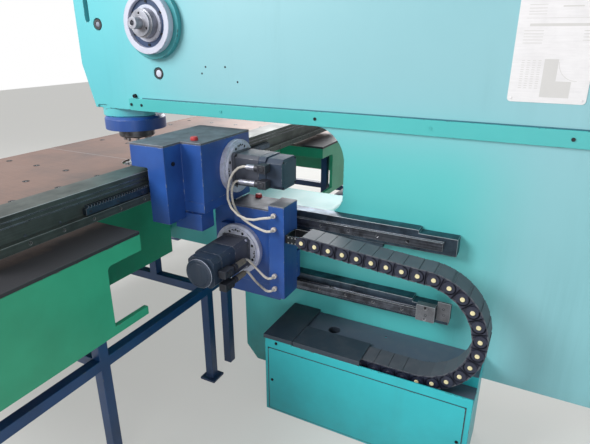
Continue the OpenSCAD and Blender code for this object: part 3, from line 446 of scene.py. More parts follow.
# Moulded ABS has a dull, even surface, and white enamel a smoother one
black_plastic = moulded("black_moulded_plastic", "#26282C", "#5A5B5E")
grey_plastic = moulded("grey_moulded_plastic", "#7F8798", "#9BA1AE")
white_enamel = enamel(
    "white_enamel", "#CBCEDD", "#BCC1D2", "#7D8290", patch_mm=90, streak=0.3, soiled=0.1
)
rims = bmesh.new()
grey_button, buttons = bmesh.new(), bmesh.new()
for bm, u, z, r in ((grey_button, -352, 1600, 12), (buttons, -5, 1388, 16)):
    port_floor = at(111, u, z)
    rim = [(24, 0), (24, 12), (22.5, 13.5), (r + 1, 13.5), (r, 11.5), (r, 0), (24, 0)]
    button = [(r - 0.4, 0), (r - 0.4, 12), (r - 2.5, 13.6), (0.01, 13.9)]
    turned(rims, port_floor, (1, 0, 0), rim)
    turned(bm, port_floor, (1, 0, 0), button)
shown(closed(rims), "plug_rims", black_plastic, "frame", ["frame_plugs"])
shown(closed(buttons), "plug_button", white_enamel, "frame")
shown(closed(grey_button), "grey_plug_button", grey_plastic, "frame")

# --- Painted shadow over the side strip and in the grab slot --------------------------
# A dark teal bead along the joint over the side strip is painted shadow. A black sheet at
# the back of the slot high in the nose is painted shade in that recess.


def slab(bm, low, high, place, width):
    """A block between two corners in millimetres, its edges rounded by width, if any."""
    size = [(h - l) / 1000 for l, h in zip(low, high)]
    middle = Vector([(h + l) / 2000 for l, h in zip(low, high)])
    made = bmesh.ops.create_cube(
        bm, size=1.0, matrix=place @ Matrix.Translation(middle) @ Matrix.Diagonal((*size, 1.0))
    )["verts"]
    if width:
        rounded(bm, width, edges=list(dict.fromkeys(e for v in made for e in v.link_edges)))


# The place of a block whose corners are given as at() takes them
press = Matrix.Translation(at(0, 0, 0))
# Painted shadow along the strip's joint: a dark teal bead with a soft sheen
shadow_bead_coat = moulded("dark_teal_painted_shadow", "#2C6C7E", "#27505C")
bead = bmesh.new()
slab(bead, (frame_side, -118, 1268.6), (128.5, 2440, 1273.4), press, 1.4)
shown(bead, "strip_joint_painted_shadow", shadow_bead_coat, "frame")
# A black sheet at the back of the grab slot: painted shade in the recess
slot_shade_sheet = bmesh.new()
slab(slot_shade_sheet, (95.5, -427, 1613), (97.5, -403, 1807), press, 0.8)
shown(slot_shade_sheet, "grab_slot_painted_shade", black_plastic, "frame")

# --- Data plate ----------------------------------------------------------------------
# A thin plate of pale anodised aluminium with round corners, held by four drive rivets.
# Its print stands as plain grey fields, rules and an arc, with no words or figures.
anodised = machined(
    "pale_anodised_aluminium", "#E4E2E4", "#D2D0D2", rough=0.5, grain=(900, 60, 6), edge_light=0.2,
    metal=0.08, stained=0.3, lined=(0.97, 1.03),
)
dressed("data_plate", "blank_plate", anodised, "frame", 0.6)
plate_face = 127
rivets = bmesh.new()
rivet = [(4.2, 0), (3.8, 1.2), (2.2, 2.0), (0.01, 2.3)]
for u, z in [(u, z) for u in (1496, 1701) for z in (1360, 1696)]:
    turned(rivets, at(plate_face, u, z), (1, 0, 0), rivet, steps=16)
shown(closed(rivets), "plate_rivets", anodised, "frame")
# Each field runs from its lower front corner to its upper rear one
fields = [
    (1520, 1578, 1690, 1586), (1508, 1601, 1700, 1602.4), (1578, 1366, 1618, 1482),
    (1618, 1366, 1662, 1416), (1604, 1632, 1660, 1636),
]
for front, rear, heights in (
    (1506, 1562, (1528, 1537, 1546, 1555, 1564)), (1672, 1694, (1537, 1546, 1555, 1564)),
    (1512, 1562, (1612, 1620, 1629, 1639)),
):
    fields += [(front, z, rear, z + 2) for z in heights]
fields += [
    (1512 + 16 * column, 1392 + 7 * row, 1521 + 16 * column, 1394 + 7 * row)
    for column in range(4) for row in range(13)
]
ink = bmesh.new()
for u0, z0, u1, z1 in fields:
    slab(ink, (plate_face - 0.1, u0, z0), (plate_face + 0.15, u1, z1), press, 0)
arc_u, arc_z, arc_r, ink_w = 1677, 1474, 56, 1.6
corners = [(-0.1, arc_r), (0.15, arc_r), (0.15, arc_r + ink_w), (-0.1, arc_r + ink_w)]
section = ink.faces.new([ink.verts.new(at(plate_face + x, arc_u - r, arc_z)) for x, r in corners])
bmesh.ops.spin(
    ink, geom=[section], cent=at(plate_face, arc_u, arc_z), axis=(1, 0, 0), dvec=(0, 0, 0),
    angle=math.pi / 2, steps=16, use_merge=False, use_duplicate=False,
)
ink_grey = moulded("grey_screen_print", "#CFCDCC", "#C4C3C2", rough=0.5, soiled=0.2)
shown(closed(ink), "plate_print_fields", ink_grey, "frame")

# --- Crank bearing -------------------------------------------------------------------
# A turned housing on the frame's side with two white rings round a dark-blue cover.
# Enamel on cast iron; six cap screws hold the cover.
navy = enamel(
    "dark_blue_enamel", "#2B4368", "#1F3354", "#6A7486", patch_mm=180, streak=0.3, soiled=0.55
)
# The housing's darker teal is painted shade, for the shadow that the rings cast on it
painted_shade_housing_coat = enamel(
    "bearing_housing_painted_shade_enamel", "#4AA2A9", "#3E959C", "#3C6E74", patch_mm=200, streak=0.3, soiled=0
)
dressed("hub_housing", "crank_housing", painted_shade_housing_coat, "frame", 4, segments=3)
dressed("hub_rings", "crank_housing_rings", white_enamel, "frame", 3, segments=3)
dressed("hub_cover", "crank_cover", navy, "frame", 1.5)
bolts = bmesh.new()
cover_face, crank_z, bolt_circle = 169, 1600, 88
for k in range(6):
    a = math.radians(30 + 60 * k)
    seat = at(cover_face, bolt_circle * math.cos(a), crank_z + bolt_circle * math.sin(a))
    socket_screw(bolts, seat, (1, 0, 0), head=5.5, proud=5, key=2.8)
shown(bolts, "crank_cover_screws", black_oxide, "frame")

# --- Crank shaft ---------------------------------------------------------------------
# Turned steel: a thick journal, a flange with three bolt holes and a stub with a socket,
# where the drive was coupled. It carries a film of dark oil.
oily_steel = machined(
    "oily_turned_steel", "#77797C", "#2C2C2E", rough=0.3, grain=(1.4, 90, 90), stained=0.75
)
journal_steel = machined(
    "turned_journal_steel", "#A4A6B0", "#4A4A4E", rough=0.34, grain=(1.4, 90, 90), metal=0.6,
    stained=0.5, stain_mm=40,
)
dressed("crank_shaft", "crank_journal", journal_steel, "crank", 1.5)

# --- Ram -----------------------------------------------------------------------------
# A hardened and ground ram that slides in a steel bush, pressed into the nose. Grinding
# leaves a fine, bright sheen.
ground = machined("ground_steel", "#A9ACB0", "#6E6A64", rough=0.24, grain=(60, 60, 1.0), stained=0.4)
for node, name, body in (("ram_guide", "ram_bush", "frame"), ("ram", "ram_rod", "ram")):
    dressed(node, name, ground, body, 1)

# --- Turret --------------------------------------------------------------------------
# Two turned steel discs with a ring of tool stations, over and under the sheet. A blue
# sheet-metal hood covers the upper one; the lower one sits on a green pedestal.
blue = enamel("blue_enamel", "#26539E", "#1C4183", "#6F7C94", patch_mm=150, streak=0.4, soiled=0)
green = enamel("green_enamel", "#3AB289", "#2E9571", "#557A6C", patch_mm=350, streak=0.35, soiled=0)
disc_steel = machined(
    "turned_disc_steel", "#6B6F74", "#2B2C2E", rough=0.36, grain=(40, 40, 1.2), stained=0.8
)
for node, name, finish, slot, width in (
    ("turret_hood", "turret_hood_shell", blue, "blue_enamel", 1.2),
    ("turret_post", "turret_shaft", oily_steel, "dark_steel", 1.5),
    ("turret_base", "turret_pedestal", green, "green_enamel", 2),
):
    dressed(node, name, finish, "frame", width)
for node, name, finish, slot, body in (
    ("upper_turret", "upper_disc", disc_steel, "dark_steel", "upper_turret"),
    ("lower_turret", "lower_disc", disc_steel, "dark_steel", "lower_turret"),
    ("punch_holders", "punch_tools", ground, "ground_steel", "upper_turret"),
    ("die_holders", "die_tools", ground, "ground_steel", "lower_turret"),
):
    dressed(node, name, finish, body, 0.8, segments=1)

# --- Table ---------------------------------------------------------------------------
# Two thick steel plates that the sheet slides on: planed once, now brown with thin rust
# and scored by years of sheet. Ball units sit flush in their holes.
worn_table = machined(
    "planed_and_worn_table_steel", "#84695F", "#68605F", rough=0.48, grain=(2.0, 160, 160),
    metal=0.3, edge_light=0.55, stained=0.7, stain_mm=420,
)
# The strip behind the beam is dark: partly rail oil, partly painted shadow of the beam
tree = worn_table.node_tree
shader = tree.nodes["Principled BSDF"]
place = add(tree, "ShaderNodeTexCoord").outputs["Object"]
depth = add(tree, "ShaderNodeSeparateXYZ", {"Vector": place})
oil = add(
    tree, "ShaderNodeTexNoise",
    {"Vector": place, "Scale": 1000 / 130, "Detail": 6.0, "Roughness": 0.6},
)
oil_and_shadow_edge = add(
    tree, "ShaderNodeMath",
    {0: oil.outputs["Fac"], 1: 0.12, 2: depth.outputs["Y"]}, operation="MULTIPLY_ADD",
)
oiled = add(
    tree, "ShaderNodeMapRange",
    {"Value": oil_and_shadow_edge.outputs[0], "From Min": -0.44, "From Max": -0.39, "To Max": 0.96},
)
bare_tone = shader.inputs["Base Color"].links[0].from_socket
dark = add(
    tree, "ShaderNodeMix",
    {0: oiled.outputs["Result"], 6: bare_tone, 7: linear("#2B2E34")}, data_type="RGBA",
)
tree.links.new(dark.outputs[2], shader.inputs["Base Color"])
dressed("table_tops", "table_plates", worn_table, "frame", 2)
cups = bmesh.new()
balls = bmesh.new()
ball_step, cup_foot, ball_r, ball_up = 220, 904, 6.4, Vector((0, 0, 0.0108))
cup = [(8.9, 0), (8.9, 16.1), (15.5, 16.1), (16, 16.7), (14.5, 17.0), (8, 16.8), (5.6, 13)]
for side in (-1, 1):
    for x in range(320, 1350, ball_step):
        for u in range(-930, -19, ball_step):
            spot = at(side * x, u, cup_foot)
            turned(cups, spot, (0, 0, 1), cup, steps=24)
            bmesh.ops.create_icosphere(
                balls, subdivisions=2, radius=ball_r / 1000, matrix=Matrix.Translation(spot + ball_up)
            )
shown(closed(cups), "ball_unit_cups", black_oxide, "frame")
shown(balls, "ball_unit_balls", ground, "frame")

# --- Table aprons and stands ---------------------------------------------------------
# Green aprons of welded steel plate hang under the table, on blue frames of welded square
# tube with foot plates. Both are brushed enamel, chipped where sheets and shoes knock them.
for node, name in (("near_apron", "near_apron_weldment"), ("far_apron", "far_apron_weldment")):
    dressed(node, name, green, "frame", 2)
# The stands' very dark blue is painted shade, for the shadow under the table
painted_shade_stand_blue = enamel(
    "painted_shade_blue_enamel_of_stands", "#0D4175", "#08325E", "#3C4E62", patch_mm=200, streak=0.3, soiled=0.5
)
for node, name in (("near_floor_frame", "near_stand"), ("far_floor_frame", "far_stand")):
    dressed(node, name, painted_shade_stand_blue, "frame", 2.5)

# --- Rails of the carriage -----------------------------------------------------------
# Blackened bars bolted to the frame's side, each with a ground profile rail whose upper
# edge the blocks keep bright, and a rack between them.
# Oil keeps the bars dark; the rails' lines and edges are worn bright, the stops are scaled
dark_bar = machined(
    "oiled_dark_bar", "#4F5E6C", "#202329", rough=0.38, grain=(60, 700, 1.2), stained=0.7,
    edge_light=0.45,
)
rail_steel = machined(
    "ground_rail_steel", "#666A74", "#2B2A2D", rough=0.36, grain=(60, 260, 5), stained=0.75,
    edge_light=0.75, stain_mm=45, lined=(0.5, 1.45),
)
stop_steel = machined("scaled_stop_steel", "#74767C", "#4C4D50", rough=0.5, grain=(4, 4, 4), metal=0.5)
for node, name, finish, slot, width in (
    ("y_rail_bars", "rail_bars", dark_bar, "dark_steel", 2),
    ("y_guide_rails", "profile_rails", rail_steel, "ground_steel", 0.8),
    ("y_rack", "rail_rack", dark_bar, "dark_steel", 0.4),
    ("rail_stops", "rail_stop_blocks", stop_steel, "ground_steel", 1.5),
):
    dressed(node, name, finish, "frame", width)
counterbores = bmesh.new()
for x, u, z, r in (
    (219, 1310, 567, 5), (219, 1313, 534, 5), (192, 1374, 563, 5), (192, 1377, 538, 5),
    (205, 1214, 822, 9), (205, 906, 555, 5), (205, 1001, 564, 5),
):
    outline = [(r, 0), (r, 1.2), (r - 0.8, 1.5), (r - 2.2, 0.6), (0.01, 0.6)]
    turned(counterbores, at(x - 1, u, z), (1, 0, 0), outline, steps=24)
shown(closed(counterbores), "rail_counterbores", black_oxide, "frame")

# --- Cable cabinet -------------------------------------------------------------------
# Folded sheet steel in brighter turquoise, with a screwed access panel, a black cover at
# its front end, a tray for the chain and the bracket that holds the chain's last link.
cabinet_coat = enamel(
    "cabinet_enamel", "#33BEC7", "#2BADB7", "#3A7476", patch_mm=260, streak=0.2, soiled=0.35
)
tray_grey = moulded("dusty_grey_sheet", "#515D6E", "#606974", rough=0.5, soiled=0.6)
black_sheet = moulded("black_rubbed_sheet", "#303C49", "#4A5058", rough=0.5, soiled=0.6)
for node, name, finish, slot, width in (
    ("cabinet_body", "cabinet_shell", cabinet_coat, "turquoise_enamel", 2),
    ("cabinet_panel", "cabinet_access_panel", cabinet_coat, "turquoise_enamel", 1),
    ("cabinet_cover", "cabinet_lid", black_sheet, "black_cover", 1.2),
    ("cable_tray", "chain_tray", tray_grey, "dark_steel", 0.8),
    ("chain_end_bracket", "chain_foot", ground, "ground_steel", 0.6),
):
    dressed(node, name, finish, "frame", width)

# Dark strips round the panel paint the shadow in its joint, and a sleeve lines the cable hole in the tray
seam = bmesh.new()
for low, high in (
    ((413, 716, 319.5), (414.4, 1524, 323)), ((413, 716, 10), (414.4, 1524, 13.2)),
    ((413, 716, 10), (414.4, 720.5, 323)), ((413, 1520.5, 10), (414.4, 1524.5, 323)),
):
    slab(seam, low, high, press, 0)
shown(seam, "panel_joint_painted_shadow", black_sheet, "frame")
sleeve = bmesh.new()
outline = [(25.4, 0), (25.4, 57), (24.2, 57), (24.2, 1.2), (0.01, 1.2)]
turned(sleeve, at(236, 943, 312), (0, 0, 1), outline, steps=28)
bmesh.ops.contextual_create(sleeve, geom=[e for e in sleeve.edges if e.is_boundary])
shown(closed(sleeve), "cable_hole_sleeve", black_sheet, "frame")

# --- Carriage ------------------------------------------------------------------------
# A blue plate on four recirculating blocks, with the gearbox of the long travel in
# front of it and the one that drives the beam on its console. Lids are slate grey.
# A planed lid gone dull under a grey film
slate = machined(
    "slate_grey_lid", "#62656E", "#474A52", rough=0.5, grain=(40, 40, 40), metal=0.3,
    edge_light=0.3,
)
# Sand-cast aluminium under clear lacquer: pale, with the sand's grain and hardly a glint
cast_grey = machined(
    "cast_flange_aluminium", "#CDD0E4", "#8E8F88", rough=0.5, grain=(3, 3, 3), metal=0.2,
    stained=0.5, stain_mm=38,
)
gland_grey = moulded("pale_gland_plastic", "#CFC8C4", "#A49E98", rough=0.4, soiled=0.3)
red_plastic = moulded("red_cap_plastic", "#C4383C", "#7A2A2C", rough=0.4)
for node, name, finish, slot, width in (
    ("carriage_plate", "carriage_slab", blue, "blue_enamel", 2),
    ("rail_blocks", "guide_carriages", ground, "ground_steel", 1.2),
    ("y_gearbox", "long_travel_gearbox", blue, "blue_enamel", 2),
    ("gearbox_lids", "gearbox_lid_plates", slate, "dark_steel", 1.2),
    ("gearbox_caps", "oil_filler_caps", red_plastic, "red_plastic", 1),
    ("motor_flanges", "motor_flange_discs", cast_grey, "flange_grey", 1),
    ("cable_bracket", "cable_box", blue, "blue_enamel", 2),
    ("cable_glands", "gland_rings", gland_grey, "ground_steel", 0.6),
    ("x_saddle", "gearbox_saddle", blue, "blue_enamel", 2),
    ("x_gearbox", "beam_gearbox", blue, "blue_enamel", 2),
    ("x_guide_blocks", "beam_guide_blocks", ground, "ground_steel", 1),
    ("chain_clip", "chain_head_clip", black_oxide, "ground_steel", 0.5),
):
    dressed(node, name, finish, "carriage", width)
# The motors' cables keep their CAD shape, in a sheath of soiled PVC
cable_skin = moulded("cream_cable_sheath", "#C9C3BA", "#8F8A80", rough=0.45, soiled=0.5)
for node in ("x_motor_cables", "y_motor_cables"):
    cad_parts[node].data.materials.clear()
    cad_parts[node].data.materials.append(cable_skin)

# --- Servo motors --------------------------------------------------------------------
# Square servo motors with cast bodies, their long edges cut at 45 degrees: a grey front
# half, a darker rear half, and four cap screws that hold the front plate to its flange.


def squared(bm, half, low, high, place, cut):
    """A square block round an axis, with its four long edges cut off at 45 degrees."""
    size = (half / 500, half / 500, (high - low) / 1000, 1.0)
    middle = Matrix.Translation((0, 0, (low + high) / 2000))
    made = bmesh.ops.create_cube(bm, size=1.0, matrix=place @ middle @ Matrix.Diagonal(size))["verts"]
    axis = place.to_3x3() @ Vector((0, 0, 1))
    long_edges = [
        e for e in dict.fromkeys(e for v in made for e in v.link_edges)
        if abs((e.verts[0].co - e.verts[1].co).normalized().dot(axis)) > 0.9
    ]
    bmesh.ops.bevel(
        bm, geom=long_edges, offset=cut / 1000, offset_type="OFFSET", affect="EDGES", segments=1,
        profile=0.5, material=-1,
    )


motor_coat = enamel(
    "motor_grey_enamel", "#4A4E5A", "#40434C", "#7E7F86", rough=0.42, patch_mm=120, streak=0.3,
    soiled=0,
)
motor_dark = enamel(
    "motor_rear_enamel", "#2E3D52", "#253244", "#70727A", rough=0.45, patch_mm=120, streak=0.3,
    soiled=0,
)
beam_way = ((1, 0, 0), (0, 0, -1), (0, 1, 0))
carriage_way = ((0, 1, 0), (0, 0, 1), (1, 0, 0))
for name, node, origin, axes, length, round_end in (
    ("beam_motor", "x_motor", at(260, 515, 1045), beam_way, 225, False),
    ("carriage_motor", "y_motor", at(335, 525, 700), carriage_way, 265, True),
):
    place = Matrix.Translation(origin) @ Matrix(axes).transposed().to_4x4()
    axis = Vector(axes[2])
    end = place @ Vector((0, 0, length / 1000))
    body_end = length - 70
    split = 104 if round_end else body_end - 32
    front, rear, fittings = bmesh.new(), bmesh.new(), bmesh.new()
    squared(front, 69, 0, 14, place, 12)
    squared(front, 65, 14, split, place, 13)
    squared(rear, 64.4, split, body_end, place, 13)
    squared(rear, 61, body_end + 0.3, length - (22 if round_end else 0), place, 17)
    if not round_end:
        squared(rear, 46, length - 1, length + 1.2, place, 16)
    rounded(front, 1.4)
    rounded(rear, 1.4)
    if round_end:
        cap = [
            (0.01, -24), (59, -24), (59, -5), (57.5, -3.2), (53.5, -0.4), (49, 0), (47.5, -1.4),
            (45.5, -1.4), (44, 0), (0.01, 0.4),
        ]
        # The pale ring at the cap's rim is partly a turned line, partly a painted highlight on the rim
        ring = [(58.6, -9), (59.8, -8.4), (59.8, -6.6), (58.6, -6), (58.6, -9)]
        turned(rear, end, axis, cap, steps=64)
        turned(fittings, end, axis, ring, steps=64)
    for across in (-1, 1):
        for over in (-1, 1):
            corner = place @ Vector((across * 0.058, over * 0.058, 0.014))
            socket_screw(fittings, corner, axis, head=5.6, proud=6, key=2.9)
            if not round_end:
                corner = place @ Vector((across * 0.05, over * 0.05, length / 1000))
                socket_screw(fittings, corner, axis, head=4, proud=2, key=2, steps=14)
    shown(front, name + "_front", motor_coat, "carriage", [node])
    shown(closed(rear), name + "_rear", motor_dark, "carriage")
    trim = cast_grey if round_end else black_oxide
    shown(closed(fittings), name + "_fittings", trim, "carriage")

# --- Motor plugs, flange screws and oil marks ----------------------------------------
# Angle plugs with nickel sleeves and black coupling rings screw on dark receptacles. The
# flanges are held by cap screws in counterbores, with old oil black in and round them.
# Plated nickel has a soft shine; heat-shrink and moulded shells are dull
nickel = machined(
    "nickel_plated_sleeve", "#A6A8B6", "#66665E", rough=0.34, grain=(2, 2, 2), metal=0.75,
    stain_mm=24,
)
buff = moulded("buff_heat_shrink", "#6F6B62", "#8C877B", rough=0.55)
plug_shell = moulded("black_plug_shell", "#23252D", "#3C3F49", soiled=0.4)
sockets, bright_sleeves, buff_sleeves = bmesh.new(), bmesh.new(), bmesh.new()
coupling = [(0.01, 0), (12.6, 0), (14, 1.4), (14, 15.6), (12.8, 17), (0.01, 17)]
end_cap = [(0.01, 0), (12, 0), (12, 2.4), (10.6, 3.2), (8.6, 3.2), (7.8, 1.4), (0.01, 1.4)]
# Each plug: its sleeve's mesh, girth, start, way and length, and its receptacle's corners
x_way, y_way = (1, 0, 0), (0, 1, 0)
for sleeves, girth, start, axis, length, low, high, face in (
    (bright_sleeves, 1.2, (352, 600, 1073), y_way, 40, (325, 655, 1056), (367, 693, 1090), x_way),
    (bright_sleeves, 1.2, (352, 562, 1010), y_way, 78, (325, 655, 993), (367, 693, 1027), x_way),
    (buff_sleeves, 1.35, (406, 610, 697), x_way, 64, (499, 590, 681), (560, 624, 713), y_way),
    (buff_sleeves, 1.35, (406, 608, 642), x_way, 64, (499, 590, 626), (560, 624, 658), y_way),
):
    slab(sockets, low, high, press, 3)
    grips = [(0.01, 0), (5.5, 0), (8.5, 3), (8.5, 10), (9.4, 11)]
    for k in range(3):
        groove = 13 + 5 * k
        grips += [(9.4, groove), (8.8, groove + 1), (8.8, groove + 2.5), (9.4, groove + 3.5)]
    grips += [(9.4, length - 8), (10, length - 7), (10, length), (0.01, length)]
    turned(sleeves, at(*start), axis, [(r * girth, along) for r, along in grips], steps=28)
    turned(sockets, at(*start) + Vector(axis) * (length - 1) / 1000, axis, coupling, steps=28)
    middle = press @ Vector([(a + b) / 2000 for a, b in zip(low, high)])
    reach = (high[0] - low[0]) / 2000 if face[0] else (high[1] - low[1]) / 2000
    turned(sockets, middle + Vector(face) * reach, face, end_cap, steps=28)
shown(closed(sockets), "motor_plug_bodies", plug_shell, "carriage", ["motor_connectors"])
shown(closed(bright_sleeves), "motor_plug_sleeves", nickel, "carriage")
shown(closed(buff_sleeves), "motor_plug_boots", buff, "carriage")
marks = bmesh.new()
# The flanges' axes: the beam motor's at x 260 and z 1045, the carriage motor's at u 525 and z 700
screw_circle = 84
for k in range(8):
    a = math.radians(22.5 + 45 * k)
    aside, over = screw_circle * math.cos(a), screw_circle * math.sin(a)
    for seat, axis in (
        (at(260 + aside, 507, 1045 + over), y_way), (at(326, 525 + aside, 700 + over), x_way)
    ):
        socket_screw(marks, seat, axis, head=5.2, proud=6, key=2.6)
# Drops of old oil, each at an angle in degrees and a radius round the axis, with its own size
for degrees, radius, size in (
    (67, 84, 6.5), (79, 89, 3.5), (84, 87, 4.5), (90, 90, 5), (96, 87, 3.5), (101, 89, 4),
    (-22, 84, 6.5), (-12, 88, 4.5), (-7, 90, 3.5), (-1, 87, 4.5), (5, 89, 3.5), (22, 84, 6.5),
    (150, 86, 3), (-60, 86, 3.5),
):
    a = math.radians(degrees)
    aside, over = radius * math.cos(a), radius * math.sin(a)
    drop = [(size, 0), (size - 0.5, 1.3), (0.01, 1.4)]
    for centre, axis in (
        (at(335, 525 + aside, 700 + over), x_way), (at(260 + aside, 515, 1045 + over), y_way)
    ):
        turned(marks, centre - Vector(axis) * 0.001, axis, drop, steps=12)
socket_screw(marks, at(533, 390, 1100), y_way, head=8, proud=5, key=4)
shown(closed(marks), "flange_screws_and_marks", black_oxide, "carriage")
rivets = bmesh.new()
rivet = [(0.01, -1), (3.2, -1), (3.2, 1.2), (0.01, 1.6)]
for u in (797, 812, 827):
    for z in (800, 822):
        turned(rivets, at(377, u, z), x_way, rivet, steps=12)
shown(closed(rivets), "chain_head_rivets", ground, "carriage")

# --- Pinions and beam ----------------------------------------------------------------
# Steel pinions on the motors' shafts drive the racks. The beam is a dark box section
# with its rail and rack behind, and hinged clamps in front.
beam_steel = machined(
    "blackened_beam_steel", "#4B5350", "#26292A", rough=0.42, grain=(500, 60, 7),
    edge_light=0.55, metal=0.45, stained=0.6, stain_mm=120, lined=(0.75, 1.25),
)
for node, name, finish, slot, body, width in (
    ("y_pinion", "carriage_pinion", ground, "ground_steel", "y_pinion", 0.5),
    ("x_pinion", "beam_pinion", ground, "ground_steel", "x_pinion", 0.5),
    ("x_beam", "beam_box", beam_steel, "dark_steel", "beam", 2),
    ("x_rail", "beam_rail", beam_steel, "ground_steel", "beam", 0.8),
    ("x_rack", "beam_rack", dark_bar, "dark_steel", "beam", 0.4),
    ("clamp_bodies", "clamp_frames", black_oxide, "dark_steel", "beam", 1.5),
    ("clamp_jaws", "clamp_upper_jaws", ground, "ground_steel", "clamp_jaws", 1),
):
    dressed(node, name, finish, body, width)
# Two shallow ribs run along the beam's rear face, over the screws of its rack
ribs = bmesh.new()
for z in (1030, 1046):
    slab(ribs, (-1300, 279.8, z), (1300, 281.3, z + 4), press, 0.4)
screw_step = 122
for x in range(-1222, 1223, screw_step):
    socket_screw(ribs, at(x, 297.8, 998), y_way, head=5, proud=2.5, key=2.5, steps=12)
shown(ribs, "beam_ribs_and_screws", rail_steel, "beam")

# --- Cable chain ---------------------------------------------------------------------
# Links of dark glass-filled nylon on snap-in pins with cream heads. Each side wall has
# an outer ear on one pin and an inner ear on the next, and flat covers close the top
# and bottom, each with a lip under the next one.
nylon = moulded("dark_nylon", "#1F2336", "#34384A", rough=0.4, soiled=0.45)
cover_nylon = moulded("grey_cover_nylon", "#50545D", "#66686E", rough=0.5, soiled=0.55)
cream = moulded("cream_pin_plastic", "#E4D9AC", "#B9AE86", rough=0.35, soiled=0.3)
# Twelve links go round the bend; the upper run drops towards it by a small slope
pitch, link_h, chain_w, wall, chain_x = 56.0, 55.0, 100.0, 10.0, 287.0
bend_links, upper_links, lower_links = 12, 8, 6
bend_r = pitch / 2 / math.sin(math.radians(90 / bend_links))
bend_u, bend_z, slope = 1320.0, 563.0, math.radians(4.5)


def link_place(a, b):
    """The matrix that takes a link's own frame to the joints a and b."""
    du, dz = b[0] - a[0], b[1] - a[1]
    c, s = du / math.hypot(du, dz), dz / math.hypot(du, dz)
    turn = Matrix(((0, 0, 1), (c, -s, 0), (s, c, 0))).to_4x4()
    return Matrix.Translation(at(chain_x, a[0], a[1])) @ turn


def ear(bm, middle, low, high, radius, place):
    """One round ear of a side wall, from low to high across the chain, with a shallow dish."""
    bottom = place @ Vector((middle / 1000, 0, low / 1000))
    thick = high - low
    outline = [
        (0.01, 0), (radius, 0), (radius, thick), (radius - 4, thick), (radius - 5, thick - 0.8),
        (11, thick - 0.8), (10, thick), (0.01, thick),
    ]
    turned(bm, bottom, place.to_3x3() @ Vector((0, 0, 1)), outline, steps=28)


def side_walls(bm, place):
    """A link's two side walls: an inner ear on its first joint and an outer one on the next."""
    half, top, ear_r = wall / 2, link_h / 2, 23.8
    for outer, inner in (
        ((0, half - 0.2), (half + 0.2, wall)),
        ((chain_w - half + 0.2, chain_w), (chain_w - wall, chain_w - half - 0.2)),
    ):
        web = min(outer[0], inner[0]), max(outer[1], inner[1])
        slab(bm, (0, -top + 4, inner[0]), (31, top - 4, inner[1]), place, 0.6)
        slab(bm, (25, -top + 4, outer[0]), (pitch, top - 4, outer[1]), place, 0.6)
        slab(bm, (26, -top + 0.5, web[0]), (31, top - 0.5, web[1]), place, 0.6)
        ear(bm, pitch, outer[0], outer[1], ear_r, place)
        ear(bm, 0, inner[0], inner[1], ear_r, place)


def covers(bm, place):
    """A link's flat covers, top and bottom, each with a thin lip under the next one."""
    for side, cover, lip in ((1, (1, 55), (48, 64)), (-1, (4, 52), (-3, 59))):
        top = side * link_h / 2
        for reach, deep, thick in ((cover, 0, 4), (lip, 2.6, 1.6)):
            low, high = sorted((top - side * deep, top - side * (deep + thick)))
            slab(bm, (reach[0], low, 3), (reach[1], high, chain_w - 3), place, 0.7)


def pin_heads(bm, a):
    """The two heads of the pin at the joint a."""
    head = [(8.2, 0), (8.2, 4.4), (7.2, 5.3), (3.0, 5.5), (2.6, 5.1), (0.01, 5.0)]
    for x, way in ((chain_x, -1), (chain_x + chain_w, 1)):
        turned(bm, at(x - way * 3, a[0], a[1]), (way, 0, 0), head, steps=20)


# The joints in each stretch, as (behind the crank's axis, above the floor)
turns = [math.pi * i / bend_links - slope for i in range(bend_links + 1)]
around = [(bend_u + bend_r * math.sin(turn), bend_z + bend_r * math.cos(turn)) for turn in turns]
upper = [
    (around[0][0] - i * pitch * math.cos(slope), around[0][1] + i * pitch * math.sin(slope))
    for i in range(upper_links + 1)
]
lower = [(around[-1][0] - i * pitch, around[-1][1]) for i in range(lower_links + 1)]
runs = (
    ("upper_run", list(zip(upper, upper[1:])), upper[1:], ["chain_upper"]),
    ("bend", list(zip(around[1:], around)), around, ["chain_bend", "bend_pins"]),
    ("lower_run", list(zip(lower[1:], lower)), lower[1:], ["chain_lower"]),
)
for run, links, pins, nodes in runs:
    walls, lids, heads = bmesh.new(), bmesh.new(), bmesh.new()
    for a, b in links:
        side_walls(walls, link_place(a, b))
        # The upper run's lips point the other way
        covers(lids, link_place(b, a) if run == "upper_run" else link_place(a, b))
    for a in pins:
        pin_heads(heads, a)
    # The pins that lie in the trough are black with its oil
    head_finish = nylon if run == "lower_run" else cream
    made = [
        shown(closed(walls), "chain_" + run + "_walls", nylon, None, nodes),
        shown(closed(lids), "chain_" + run + "_covers", cover_nylon, None),
        shown(closed(heads), "chain_" + run + "_pin_heads", head_finish, None),
    ]
    for piece in made:
        if run == "upper_run":
            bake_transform(piece)
        elif run == "lower_run":
            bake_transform(piece)
        else:
            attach(piece, "chain_bend")

# --- Floor, light and camera ---------------------------------------------------------
# A plain pale floor, soft light from the camera's left and overhead, and the camera
# where the photographer stood.
floor_paint = bpy.data.materials.new("plain_pale_floor")
floor_paint.use_nodes = True
floor_tree = floor_paint.node_tree
floor_shader = floor_tree.nodes["Principled BSDF"]
floor_shader.inputs["Base Color"].default_value = linear("#D9D9D6")
floor_shader.inputs["Roughness"].default_value = 0.8


def plainly_seen(tree):
    """1 for the rays that show the background: the camera's, glossy and transmitted ones."""
    rays = add(tree, "ShaderNodeLightPath")
    direct = add(
        tree, "ShaderNodeMath",
        {0: rays.outputs["Is Camera Ray"], 1: rays.outputs["Is Glossy Ray"]}, operation="MAXIMUM",
    )
    through = add(
        tree, "ShaderNodeMath",
        {0: direct.outputs[0], 1: rays.outputs["Is Transmission Ray"]}, operation="MAXIMUM",
    )
    return through.outputs[0]


